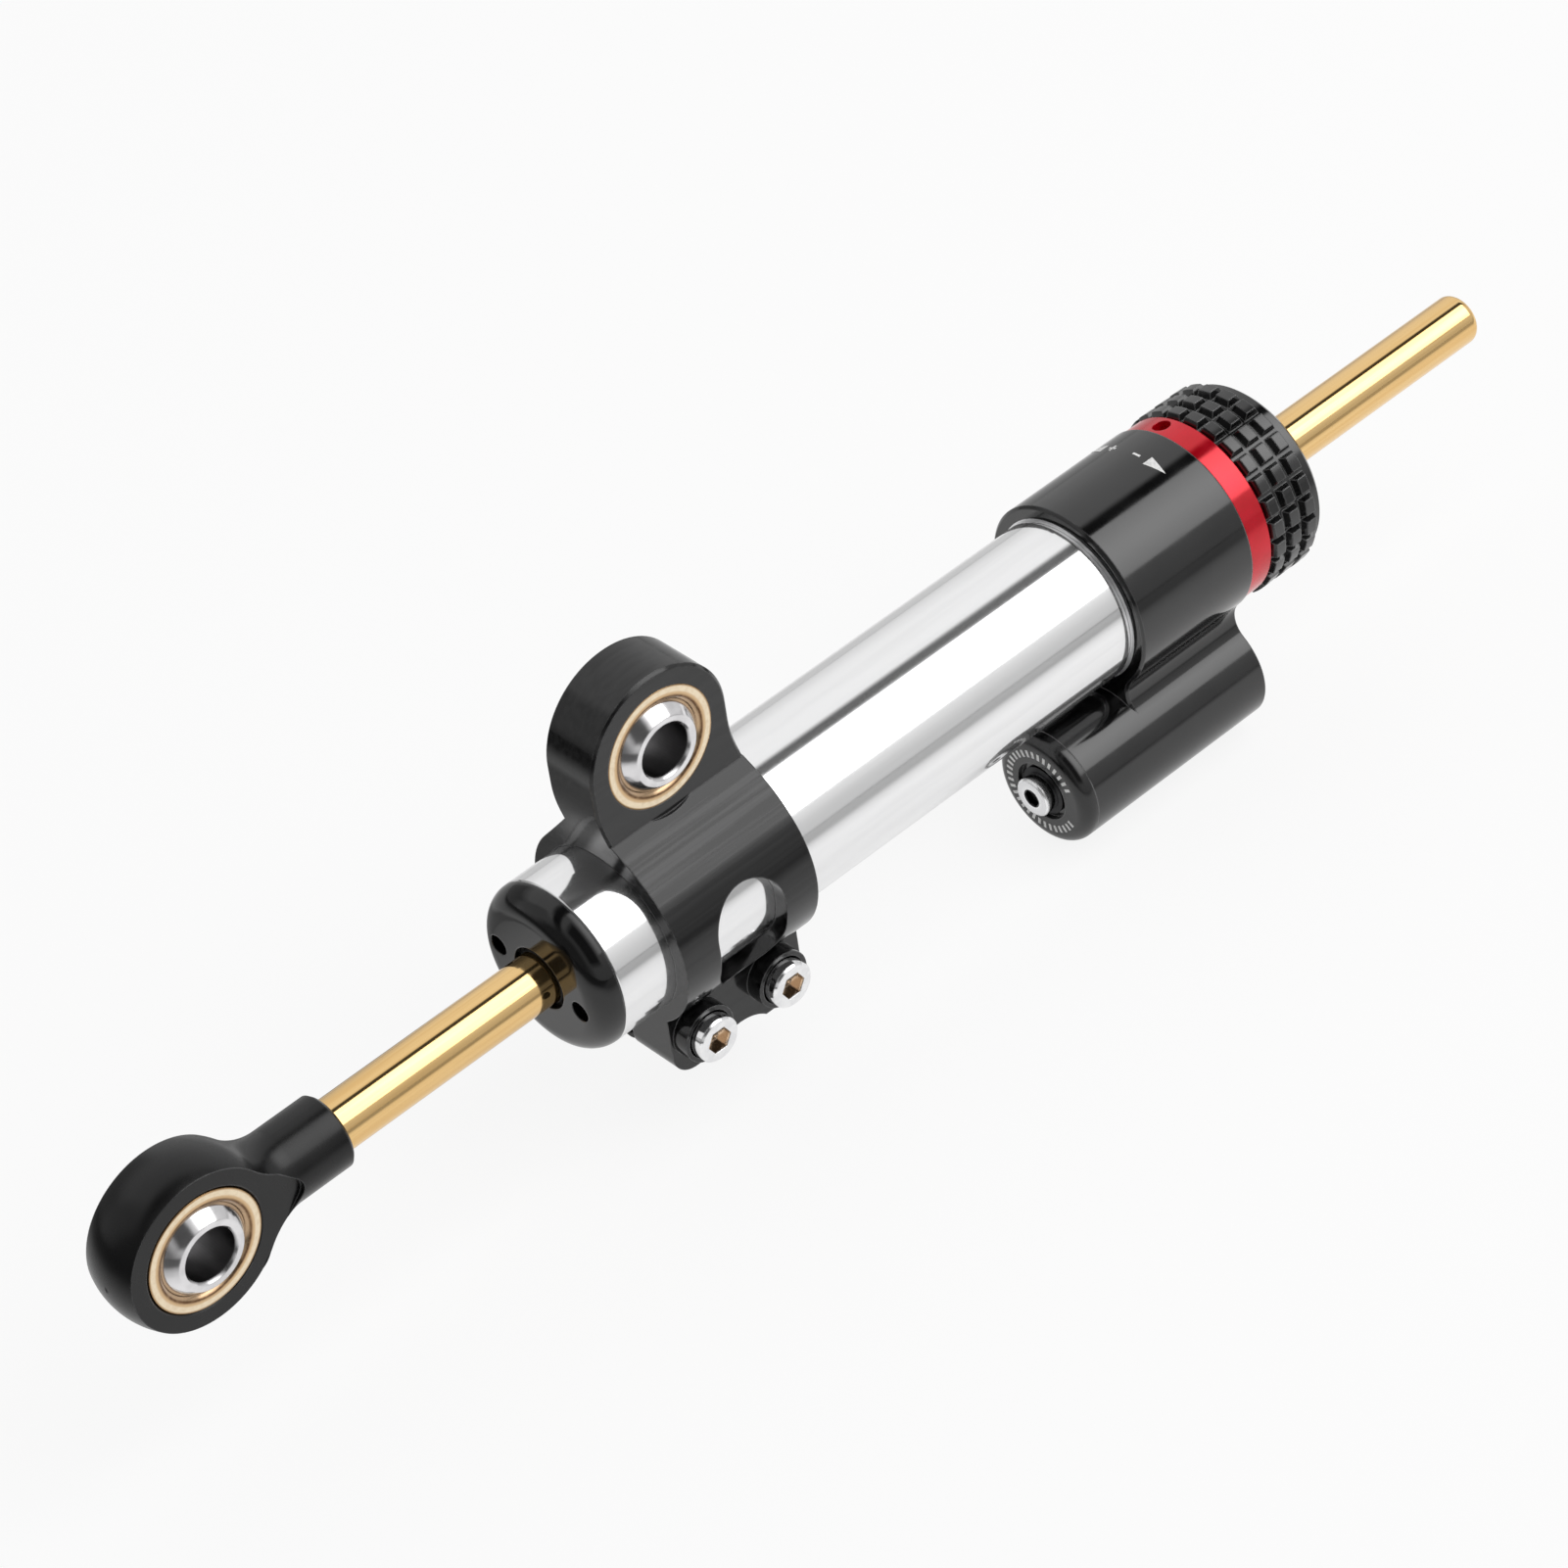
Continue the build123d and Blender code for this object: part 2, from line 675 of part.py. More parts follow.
# Rod: through rod with two snap ring grooves and a threaded front end in the rod end
socket_end = neck_end - rod_socket_depth
thread_end = rod_eye + race_radius + rod_thread_wall
snap_floor = rod_radius - snap_groove_depth
front_snap = piston_front - running_clearance - snap_ring_width
rear_snap = piston_rear + running_clearance
with BuildPart() as piston_rod:
    with BuildSketch(side_view):
        band(socket_end, rod_tip, 0, rod_radius)
        band(thread_end, socket_end, 0, rod_thread_radius)
        for snap_x in (front_snap, rear_snap):
            cut_band(snap_x, snap_x + snap_ring_width, snap_floor, rod_radius)
    revolve(axis=damper_axis)
    fillet(piston_rod.faces().sort_by(Axis.X)[-1].edges(), rod_round)
    chamfer(piston_rod.faces().sort_by(Axis.X)[0].edges(), neck_chamfer)
finish(piston_rod, "piston_rod")

with BuildPart() as piston_snap_rings:
    for snap_x in (front_snap, rear_snap):
        open_ring(snap_x, snap_ring_width, snap_floor, snap_ring_height, snap_ring_gap)
finish(piston_snap_rings, "piston_snap_rings")

# Rod end: a round head blended into its neck, with two milled flats that narrow to round tips
blend_radius = neck_radius + neck_fillet
blend_x = math.sqrt((head_radius + neck_fillet) ** 2 - blend_radius**2)
blend_share = head_radius / (head_radius + neck_fillet)
blend_start = (blend_x * blend_share, blend_radius * blend_share)
blend_turn = math.degrees(math.atan2(-blend_radius, -blend_x))
flat_height = eye_width / 2
with BuildPart() as rod_end:
    with BuildSketch(Plane(origin=(rod_eye, 0, -eye_height), x_dir=(1, 0, 0), z_dir=(0, -1, 0))):
        with BuildLine():
            ThreePointArc((-head_radius, 0), (0, head_radius), blend_start)
            CenterArc((blend_x, blend_radius), neck_fillet, blend_turn, -90 - blend_turn)
            Polyline(
                (blend_x, neck_radius), (neck_length - neck_chamfer, neck_radius),
                (neck_length, neck_radius - neck_chamfer), (neck_length, 0), (-head_radius, 0),
            )
        make_face()
    revolve(axis=damper_axis)
    tip_x = flat_reach - flat_tip_radius
    tip_half = flat_tip_radius / math.sqrt(2)
    flank_run = 2 * head_radius
    for side in (1, -1):
        face_plane = Plane(
            origin=(rod_eye, side * flat_height, -eye_height), x_dir=(1, 0, 0), z_dir=(0, side, 0)
        )
        with BuildSketch(face_plane):
            with Locations((tip_x, 0)):
                Circle(flat_tip_radius)
            with Locations((tip_x + tip_half, 0)):
                outline(
                    (0, tip_half), (-flank_run, tip_half + flank_run),
                    (-2 * flank_run, tip_half + flank_run), (-2 * flank_run, -tip_half - flank_run),
                    (-flank_run, -tip_half - flank_run), (0, -tip_half),
                )
        extrude(amount=head_radius, mode=Mode.SUBTRACT)
    with BuildSketch(Plane(origin=(rod_eye, 0, -eye_height), x_dir=(1, 0, 0), z_dir=(0, 1, 0))):
        Circle(race_radius + fixed_clearance)
    extrude(amount=eye_width, both=True, mode=Mode.SUBTRACT)
    with BuildSketch(side_view):
        band(socket_end, neck_end, 0, rod_radius + fixed_clearance)
        band(thread_end - overrun, socket_end, 0, rod_thread_radius + thread_clearance)
    revolve(axis=damper_axis, mode=Mode.SUBTRACT)
    bore_edges = rod_end.edges().filter_by(GeomType.CIRCLE).filter_by(
        lambda rim: abs(rim.radius - race_radius) < thread_clearance
    )
    chamfer(bore_edges, eye_bore_chamfer)
finish(rod_end, "rod_end")


def bearing_race(x, height):
    """Bronze race with a spherical seat and chamfered mouths, about the bolt axis at x."""
    with BuildSketch(cross_view(x, height)) as profile:
        Rectangle(eye_width, race_radius, align=(Align.CENTER, Align.MIN))
        Circle(ball_radius + running_clearance, mode=Mode.SUBTRACT)
        for side in (1, -1):
            mouth = side * eye_width / 2
            throat = mouth - side * race_mouth_depth
            outline(
                (mouth, 0), (mouth, race_mouth_radius),
                (throat, race_mouth_radius - race_mouth_depth), (throat, 0),
                mode=Mode.SUBTRACT,
            )
    revolve(profile.sketch, axis=Axis((x, 0, height), (0, 1, 0)))


def bearing_ball(x, height):
    """Drilled ball cut off flat at both ends, about the bolt axis at x."""
    with BuildSketch(cross_view(x, height)) as profile:
        Circle(ball_radius)
        with Locations((0, bolt_radius)):
            Rectangle(
                ball_width, ball_radius, align=(Align.CENTER, Align.MIN), mode=Mode.INTERSECT
            )
        chamfer(profile.vertices().group_by(Axis.Y)[0], ball_chamfer)
    revolve(profile.sketch, axis=Axis((x, 0, height), (0, 1, 0)))


with BuildPart() as rod_end_race:
    bearing_race(rod_eye, -eye_height)
finish(rod_end_race, "rod_end_race")

with BuildPart() as rod_end_ball:
    bearing_ball(rod_eye, -eye_height)
finish(rod_end_ball, "rod_end_ball")

with BuildPart() as clamp_race:
    bearing_race(0, 0)
finish(clamp_race, "clamp_race")

with BuildPart() as clamp_ball:
    bearing_ball(0, 0)
finish(clamp_ball, "clamp_ball")

# Clamp bracket: ring with sloping shoulders under the eye plate, split below between two ears
plate_half = eye_width / 2
shoulder_height = ring_radius + shoulder_rise
shoulder_left = (-plate_half, shoulder_height)
shoulder_right = (plate_half, shoulder_height)
left_touch = touch_point(ring_radius, shoulder_left, 1)
right_touch = touch_point(ring_radius, shoulder_right, -1)
ear_foot = screw_drop + ear_foot_rise
ear_middle = (ring_front + ring_rear) / 2
screw_places = [
    (ring_front + screw_front_inset, -screw_drop),
    (ring_rear - screw_rear_inset, -screw_drop),
]
boss_face = ear_reach + boss_height
head_seat = boss_face - screw_head_sink
eye_view = Plane(origin=(0, 0, 0), x_dir=(1, 0, 0), z_dir=(0, -1, 0))
with BuildSketch(eye_view) as bracket_side:
    with BuildLine():
        CenterArc((0, 0), clamp_eye_radius, 0, 180)
        Line((-clamp_eye_radius, 0), (-clamp_eye_radius, -flank_start))
        Spline(
            (-clamp_eye_radius, -flank_start), (ring_front, -flank_end),
            tangents=((0, -1), (0, -1)),
        )
        Polyline(
            (ring_front, -flank_end), (ring_front, -eye_height - ring_radius),
            (ring_rear, -eye_height - ring_radius), (ring_rear, -flank_end),
        )
        Spline(
            (ring_rear, -flank_end), (clamp_eye_radius, -flank_start),
            tangents=((0, 1), (0, 1)),
        )
        Line((clamp_eye_radius, -flank_start), (clamp_eye_radius, 0))
    make_face()

with BuildPart() as eye_plate:
    extrude(bracket_side.sketch, amount=plate_half, both=True)
    chamfer(eye_plate.faces().filter_by(Axis.Y).edges(), plate_edge_chamfer)
    split(bisect_by=Plane.XY.offset(-eye_height), keep=Keep.TOP)

with BuildPart() as clamp_bracket:
    with BuildSketch(cross_view(-clamp_eye_radius - overrun)):
        Circle(ring_radius)
        outline((0, 0), left_touch, shoulder_left, shoulder_right, right_touch)
    extrude(amount=clamp_eye_radius + ring_rear + 2 * overrun)
    extrude(bracket_side.sketch, amount=2 * ring_radius, both=True, mode=Mode.INTERSECT)
    add(eye_plate.part)
    with BuildSketch(side_view) as ear_side:
        with Locations((ear_middle, 0)):
            Rectangle(ring_width, ear_foot, align=(Align.CENTER, Align.MAX))
        fillet(ear_side.vertices().group_by(Axis.Y)[0], ear_corner_radius)
        with Locations((ear_middle, ear_scallop_depth - ear_foot - ear_scallop_radius)):
            Circle(ear_scallop_radius, mode=Mode.SUBTRACT)
    extrude(amount=ear_reach, both=True)
    with BuildSketch(side_view.offset(ear_reach)):
        with Locations(*screw_places):
            Circle(boss_radius)
    extrude(amount=boss_height)
    with BuildSketch(side_view):
        band(ring_front - overrun, ring_rear + overrun, 0, tube_radius + sliding_clearance)
    revolve(axis=damper_axis, mode=Mode.SUBTRACT)
    with BuildSketch(cross_view(ring_front - overrun)):
        Rectangle(split_width, 2 * ring_radius, align=(Align.CENTER, Align.MAX))
    extrude(amount=ring_width + 2 * overrun, mode=Mode.SUBTRACT)
    with BuildSketch(side_view):
        with Locations((window_set, window_top - window_radius)):
            Circle(window_radius)
            Rectangle(
                2 * window_radius, window_top + window_bottom - 2 * window_radius,
                align=(Align.CENTER, Align.MAX),
            )
        with Locations((window_set, window_radius - window_bottom)):
            Circle(window_radius)
    extrude(amount=2 * ring_radius, mode=Mode.SUBTRACT)
    with BuildSketch(side_view):
        with Locations(*screw_places):
            Circle(screw_radius + screw_hole_clearance)
    extrude(amount=2 * ring_radius, mode=Mode.SUBTRACT)
    with BuildSketch(side_view):
        with Locations(*screw_places):
            Circle(screw_radius + thread_clearance)
    extrude(amount=-2 * ring_radius, mode=Mode.SUBTRACT)
    with BuildSketch(side_view.offset(head_seat)):
        with Locations(*screw_places):
            Circle(screw_head_radius + screw_hole_clearance)
    extrude(amount=2 * ring_radius, mode=Mode.SUBTRACT)
    for side in (1, -1):
        with BuildSketch(Plane(origin=(0, side * plate_half, 0), z_dir=(0, side, 0))):
            Circle(spot_face_radius)
        extrude(amount=ring_radius, mode=Mode.SUBTRACT)
    with BuildSketch(Plane(origin=(0, 0, 0), x_dir=(1, 0, 0), z_dir=(0, 1, 0))):
        Circle(race_radius + fixed_clearance)
    extrude(amount=eye_width, both=True, mode=Mode.SUBTRACT)
finish(clamp_bracket, "clamp_bracket")

# Two socket cap screws across the split, heads in the ear's counterbored bosses
screw_end = -ear_reach + screw_end_land
with BuildPart() as clamp_screws:
    with BuildSketch(side_view.offset(head_seat)):
        with Locations(*screw_places):
            Circle(screw_head_radius)
    extrude(amount=screw_head_height)
    top_rims = clamp_screws.faces().filter_by(Axis.Y).group_by(Axis.Y)[0].edges()
    chamfer(top_rims, screw_head_chamfer)
    with BuildSketch(side_view.offset(head_seat)):
        with Locations(*screw_places):
            Circle(screw_radius)
    extrude(amount=screw_end - head_seat)
    with BuildSketch(side_view.offset(head_seat + screw_head_height - screw_hex_depth)):
        with Locations(*screw_places):
            RegularPolygon(screw_hex_radius, 6)
    extrude(amount=screw_hex_depth, mode=Mode.SUBTRACT)
finish(clamp_screws, "clamp_screws")

# Reservoir end cap: tapered lid screwed into the reservoir, with a recess for the fill screw
lid_front = reservoir_front - reservoir_cap_height
recess_floor = lid_front + cap_recess_depth
lid_end = reservoir_front + reservoir_spigot_length
lid_ring_front = reservoir_front + (reservoir_spigot_length - o_ring_width) / 2
lid_ring_floor = reservoir_bore - o_ring_depth
screw_tip = recess_floor + fill_screw_length
with BuildPart() as reservoir_end_cap:
    with BuildSketch(reservoir_view):
        band(lid_front, reservoir_front, 0, reservoir_radius)
        band(reservoir_front, lid_end, 0, reservoir_bore - thread_clearance)
        cut_band(lid_ring_front, lid_ring_front + o_ring_width, lid_ring_floor, reservoir_radius)
        cut_band(lid_front, recess_floor, 0, cap_recess_radius)
        cut_band(recess_floor, screw_tip, 0, fill_screw_radius + thread_clearance)
        cut_band(screw_tip, lid_end, 0, fill_hole_radius)
    revolve(axis=reservoir_axis)
    lid_rim = reservoir_end_cap.faces().sort_by(Axis.X)[0].edges().sort_by(SortBy.RADIUS)[-1]
    fillet(lid_rim, reservoir_cap_round)
finish(reservoir_end_cap, "reservoir_end_cap")

with BuildPart() as reservoir_o_ring:
    with BuildSketch(reservoir_view):
        band(
            lid_ring_front + fixed_clearance, lid_ring_front + o_ring_width - fixed_clearance,
            lid_ring_floor + fixed_clearance, reservoir_bore - fixed_clearance,
        )
    revolve(axis=reservoir_axis)
finish(reservoir_o_ring, "reservoir_o_ring")

head_back = recess_floor - fill_seal_thickness
head_front = head_back - fill_head_height
with BuildPart() as fill_screw:
    with BuildSketch(reservoir_view):
        band(head_front, head_back, 0, fill_head_radius)
        band(head_back, screw_tip, 0, fill_screw_radius)
    revolve(axis=reservoir_axis)
    chamfer(
        fill_screw.faces().sort_by(Axis.X)[0].edges(), screw_head_chamfer
    )
    hex_plane = Plane(
        origin=(head_front, reservoir_y, reservoir_z - eye_height), x_dir=(0, 1, 0), z_dir=(1, 0, 0)
    )
    with BuildSketch(hex_plane):
        RegularPolygon(fill_socket_radius, 6)
    extrude(amount=fill_socket_depth, mode=Mode.SUBTRACT)
finish(fill_screw, "fill_screw")

with BuildPart() as fill_screw_seal:
    with BuildSketch(reservoir_view):
        band(head_back, recess_floor, fill_screw_radius + thread_clearance, fill_seal_radius)
    revolve(axis=reservoir_axis)
finish(fill_screw_seal, "fill_screw_seal")

# Floating piston between oil and gas, with its sealing ring
floating_front = lid_end + floating_set
floating_radius = reservoir_bore - running_clearance
floating_ring_front = floating_front + (floating_length - o_ring_width) / 2
floating_ring_floor = reservoir_bore - o_ring_depth
with BuildPart() as floating_piston:
    with BuildSketch(reservoir_view):
        band(floating_front, floating_front + floating_length, 0, floating_radius)
        cut_band(floating_front, floating_front + floating_dish_depth, 0, floating_dish_radius)
        cut_band(
            floating_ring_front, floating_ring_front + o_ring_width,
            floating_ring_floor, reservoir_radius,
        )
    revolve(axis=reservoir_axis)
finish(floating_piston, "floating_piston")

with BuildPart() as floating_o_ring:
    with BuildSketch(reservoir_view):
        band(
            floating_ring_front + fixed_clearance,
            floating_ring_front + o_ring_width - fixed_clearance,
            floating_ring_floor + fixed_clearance, reservoir_bore - sliding_clearance,
        )
    revolve(axis=reservoir_axis)
finish(floating_o_ring, "floating_o_ring")
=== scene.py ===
# Steering damper: finishes, printed marks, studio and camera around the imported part
import math

import bpy
from mathutils import Matrix, Vector


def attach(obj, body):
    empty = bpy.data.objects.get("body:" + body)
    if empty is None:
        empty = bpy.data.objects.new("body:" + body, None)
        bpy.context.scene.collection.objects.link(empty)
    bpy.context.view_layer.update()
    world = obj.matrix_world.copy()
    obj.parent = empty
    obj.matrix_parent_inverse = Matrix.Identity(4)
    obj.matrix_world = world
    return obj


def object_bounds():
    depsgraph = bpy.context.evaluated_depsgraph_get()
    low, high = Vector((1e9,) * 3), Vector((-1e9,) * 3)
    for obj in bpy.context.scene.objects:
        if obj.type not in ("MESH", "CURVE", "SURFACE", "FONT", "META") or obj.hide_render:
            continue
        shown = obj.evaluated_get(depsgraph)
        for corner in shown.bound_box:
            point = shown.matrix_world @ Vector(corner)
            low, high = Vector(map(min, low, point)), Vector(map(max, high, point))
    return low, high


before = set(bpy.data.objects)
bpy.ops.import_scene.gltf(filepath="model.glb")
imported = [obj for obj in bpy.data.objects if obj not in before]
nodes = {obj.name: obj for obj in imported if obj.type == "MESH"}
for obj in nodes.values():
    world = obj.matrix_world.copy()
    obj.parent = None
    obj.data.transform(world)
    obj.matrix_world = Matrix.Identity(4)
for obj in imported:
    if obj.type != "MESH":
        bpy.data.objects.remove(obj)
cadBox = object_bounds()
print("stage: frame loaded,", len(nodes), "nodes")

mm = 0.001
damperHeight = -28.3 * mm  # the damper's own axis, along X
eyeSpacing = 84.8 * mm  # clamp eye at the origin, rod eye this far ahead
reservoirY = -6.73 * mm  # the reservoir's own axis, also along X
reservoirZ = -51.02 * mm


# helpers for shader nodes
def newFinish(name):
    finish = bpy.data.materials.new(name)
    finish.use_nodes = True
    tree = finish.node_tree
    return finish, tree, tree.nodes["Principled BSDF"]


def grey(level):
    return (level, level, level)


def feed(tree, socket, value):
    # a socket takes another node's output, a colour or a plain number
    if hasattr(value, "is_linked"):
        tree.links.new(value, socket)
    elif hasattr(value, "__len__"):
        socket.default_value = (*value, 1)
    else:
        socket.default_value = value


def mathNode(tree, operation, *values):
    node = tree.nodes.new("ShaderNodeMath")
    node.operation = operation
    for socket, value in zip(node.inputs, values):
        feed(tree, socket, value)
    return node.outputs[0]


def product(tree, result, *others):
    for other in others:
        result = mathNode(tree, "MULTIPLY", result, other)
    return result


def combined(tree, x, y, z):
    node = tree.nodes.new("ShaderNodeCombineXYZ")
    for socket, value in zip(node.inputs, (x, y, z)):
        feed(tree, socket, value)
    return node.outputs[0]


def objectAxes(tree):
    point = tree.nodes.new("ShaderNodeTexCoord").outputs["Object"]
    split = tree.nodes.new("ShaderNodeSeparateXYZ")
    tree.links.new(point, split.inputs[0])
    return point, split.outputs


def distanceFrom(tree, first, second, firstCentre, secondCentre):
    # how far a point lies from an axis, by the two coordinates across that axis
    first = mathNode(tree, "SUBTRACT", first, firstCentre)
    second = mathNode(tree, "SUBTRACT", second, secondCentre)
    squares = mathNode(tree, "ADD", product(tree, first, first), product(tree, second, second))
    return mathNode(tree, "SQRT", squares)


def noiseNode(tree, vector, scale, detail):
    node = tree.nodes.new("ShaderNodeTexNoise")
    node.inputs["Scale"].default_value = scale
    node.inputs["Detail"].default_value = detail
    tree.links.new(vector, node.inputs["Vector"])
    return node.outputs["Fac"]


def rampNode(tree, value, stops, smooth=True):
    # each stop is its place from 0 to 1 and its colour
    node = tree.nodes.new("ShaderNodeValToRGB")
    node.color_ramp.interpolation = "EASE" if smooth else "LINEAR"
    points = node.color_ramp.elements
    while len(points) < len(stops):
        points.new(0.5)  # moved to its place below
    for point, (place, colour) in zip(points, stops):
        point.position = place
        point.color = (*colour, 1)
    tree.links.new(value, node.inputs["Fac"])
    return node.outputs["Color"]


def twoTones(tree, noise, look):
    return rampNode(tree, noise, list(zip(look["toneLevels"], look["tones"])))


def rangeNode(tree, value, levels, results):
    # goes from the first result to the second as the value goes from the first level to the second
    node = tree.nodes.new("ShaderNodeMapRange")
    for socket, number in zip(node.inputs[1:5], (*levels, *results)):
        socket.default_value = number
    tree.links.new(value, node.inputs["Value"])
    return node.outputs["Result"]


def rise(tree, value, levels):
    return rangeNode(tree, value, levels, (0, 1))


def window(tree, value, edges):
    # 1 between the two inner edges, fading to 0 at the outer ones
    start, full, fall, end = edges
    return product(tree, rise(tree, value, (start, full)), rangeNode(tree, value, (fall, end), (1, 0)))


def mixColours(tree, factor, first, second):
    node = tree.nodes.new("ShaderNodeMix")
    node.data_type = "RGBA"
    sockets = (node.inputs[0], node.inputs[6], node.inputs[7])  # the factor and the two colours
    for socket, value in zip(sockets, (factor, first, second)):
        feed(tree, socket, value)
    return node.outputs[2]


softening = {
    "samples": 4,
    "edgeLevels": (0.8, 0.98),  # cosine between rounded and flat normal, on an edge and off it
}


def softEdges(tree, radius):
    # rounds what the light sees of an edge
    bevel = tree.nodes.new("ShaderNodeBevel")
    bevel.samples = softening["samples"]
    bevel.inputs["Radius"].default_value = radius
    return bevel.outputs[0]


def edgeMask(tree, rounded):
    # 1 on an edge, 0 away from it
    flat = tree.nodes.new("ShaderNodeNewGeometry").outputs["Normal"]
    dot = tree.nodes.new("ShaderNodeVectorMath")
    dot.operation = "DOT_PRODUCT"
    tree.links.new(rounded, dot.inputs[0])
    tree.links.new(flat, dot.inputs[1])
    return rangeNode(tree, dot.outputs["Value"], softening["edgeLevels"], (1, 0))


streakDetail = 3.0  # finer layers in turned and drawn grain


def turnedGrain(tree, centreY, centreZ, scale):
    # rings round an axis along X, the same all the way round, as a lathe leaves them
    _, (x, y, z) = objectAxes(tree)
    radius = distanceFrom(tree, y, z, centreY, centreZ)
    return noiseNode(tree, combined(tree, x, radius, 0.0), scale, streakDetail), radius


def drawnGrain(tree, along, across):
    # streaks along X, as polishing along a bar leaves them; the two numbers are the noise's scales
    _, (x, y, z) = objectAxes(tree)
    stretched = combined(tree, product(tree, x, along), product(tree, y, across), product(tree, z, across))
    return noiseNode(tree, stretched, 1.0, streakDetail)


def dress(tree, shader, look, colour, rough, height, rounded=None):
    # what every finish sets
    tree.links.new(colour, shader.inputs["Base Color"])
    tree.links.new(rough, shader.inputs["Roughness"])
    shader.inputs["Metallic"].default_value = look["metal"]
    bump = tree.nodes.new("ShaderNodeBump")
    bump.inputs["Strength"].default_value = look["bump"]
    bump.inputs["Distance"].default_value = look["bumpDepth"]
    tree.links.new(height, bump.inputs["Height"])
    if rounded is not None:
        tree.links.new(rounded, bump.inputs["Normal"])
    tree.links.new(bump.outputs[0], shader.inputs["Normal"])


# finishes: a noise is given by its scale and detail, and tones go from dark to light
noiseSpread = (0.3, 0.7)  # most of a noise lies between these levels

anodised = {
    "tones": ((0.0022, 0.0022, 0.0024), (0.0055, 0.0055, 0.0058)),
    "toneLevels": (0.3, 0.7),
    "patch": (160, 4.0),
    "grain": (5200, 2.0),
    "metal": 0.0,
    "bumpDepth": 0.01 * mm,
    "edgeRadius": 0.3 * mm,
    "edgeWearGlint": (0.2, 0.2, 0.203),  # colour of the edges where they are rubbed, with a painted highlight where they catch the light
    "edgeWearGlintLevels": (0.35, 0.65),
    "edgeWearGlintShares": (0.35, 1.0),
}
# what is different from one black piece to another
blacks = {
    "gloss black anodised": {
        "ior": 1.66,
        "rough": (0.07, 0.14),
        "bump": 0.04,
        "bare": (0.9, 0.9, 0.905),  # aluminium where a cutter went through the black of the mouth
        "bareRough": 0.32,
        "mouthRadius": 13.12 * mm,
        "mouthFront": 79.0 * mm,
    },
    "clamp black": {
        "tones": ((0.0022, 0.0022, 0.0024), (0.013, 0.013, 0.0133)),
        "drawn": (25, 1300),
        "ior": 1.52,
        "rough": (0.09, 0.19),
        "bump": 0.45,
        "milled": (0.05, 0.05, 0.051),  # milling streaks on the sloping shoulders, painted lighter as sheen
        "milledLevels": (0.42, 0.64),
        "shoulderHeight": (-18.5 * mm, -16.5 * mm),
        "shoulderDepth": (5.6 * mm, 6.0 * mm),
    },
    "cap black": {"turned": (0.0, damperHeight), "ior": 1.55, "rough": (0.06, 0.12), "bump": 0.03},
    "turned black lid": {"turned": (reservoirY, reservoirZ), "ior": 1.6, "rough": (0.1, 0.18), "bump": 0.05},
    "knob black": {"ior": 1.7, "rough": (0.1, 0.18), "bump": 0.06},
    "satin black rod end": {"ior": 1.42, "rough": (0.22, 0.3), "bump": 0.08},
}


def blackAnodised(name):
    look = {**anodised, **blacks[name]}
    finish, tree, shader = newFinish(name)
    point, (x, y, z) = objectAxes(tree)
    patch = noiseNode(tree, point, *look["patch"])
    if "turned" in look:
        grain, _ = turnedGrain(tree, *look["turned"], look["grain"][0])
    elif "drawn" in look:
        grain = patch = drawnGrain(tree, *look["drawn"])
    else:
        grain = noiseNode(tree, point, *look["grain"])
    colour = twoTones(tree, patch, look)
    if "milled" in look:
        # painted sheen: milling streaks drawn lighter on the shoulders
        shoulder = product(
            tree,
            rise(tree, z, look["shoulderHeight"]),
            rise(tree, mathNode(tree, "ABSOLUTE", y), look["shoulderDepth"]),
            rise(tree, patch, look["milledLevels"]),
        )
        colour = mixColours(tree, shoulder, colour, look["milled"])
    rounded = softEdges(tree, look["edgeRadius"])
    # painted highlight on the edges, broken up by noise like rubbed wear
    wearGlintShare = rangeNode(tree, patch, look["edgeWearGlintLevels"], look["edgeWearGlintShares"])
    colour = mixColours(tree, product(tree, edgeMask(tree, rounded), wearGlintShare), colour, look["edgeWearGlint"])
    rough = rangeNode(tree, patch, noiseSpread, look["rough"])
    if "bare" in look:
        radius = distanceFrom(tree, y, z, 0.0, damperHeight)
        bare = product(
            tree,
            mathNode(tree, "LESS_THAN", radius, look["mouthRadius"]),
            mathNode(tree, "LESS_THAN", x, look["mouthFront"]),
        )
        colour = mixColours(tree, bare, colour, look["bare"])
        rough = mathNode(tree, "ADD", rough, product(tree, bare, look["bareRough"]))
        tree.links.new(bare, shader.inputs["Metallic"])
    shader.inputs["IOR"].default_value = look["ior"]
    dress(tree, shader, look, colour, rough, grain, rounded)
    return finish


polished = {
    "tones": ((0.89, 0.89, 0.895), (0.93, 0.93, 0.935)),
    "toneLevels": (0.35, 0.6),
    "along": 18,
    "across": 420,
    "haze": 0.42,  # a soft coat over the sharp reflections
    "hazeRough": 0.5,
    "hazeIor": 3.0,
    "metal": 1.0,
    "rough": (0.07, 0.13),
    "bump": 0.03,
    "bumpDepth": 0.01 * mm,
    "edgeRadius": 0.12 * mm,
}


def polishedTube(name):
    finish, tree, shader = newFinish(name)
    streak = drawnGrain(tree, polished["along"], polished["across"])
    shader.inputs["Coat Weight"].default_value = polished["haze"]
    shader.inputs["Coat Roughness"].default_value = polished["hazeRough"]
    shader.inputs["Coat IOR"].default_value = polished["hazeIor"]
    colour = twoTones(tree, streak, polished)
    rough = rangeNode(tree, streak, noiseSpread, polished["rough"])
    dress(tree, shader, polished, colour, rough, streak, softEdges(tree, polished["edgeRadius"]))
    return finish


gold = {
    "tones": ((0.82, 0.53, 0.22), (0.88, 0.6, 0.27)),
    "toneLevels": (0.32, 0.62),
    "along": 25,
    "across": 1400,
    "metal": 0.96,
    "rough": (0.03, 0.09),
    "bump": 0.08,
    "bumpDepth": 0.01 * mm,
    "edgeRadius": 0.15 * mm,
}


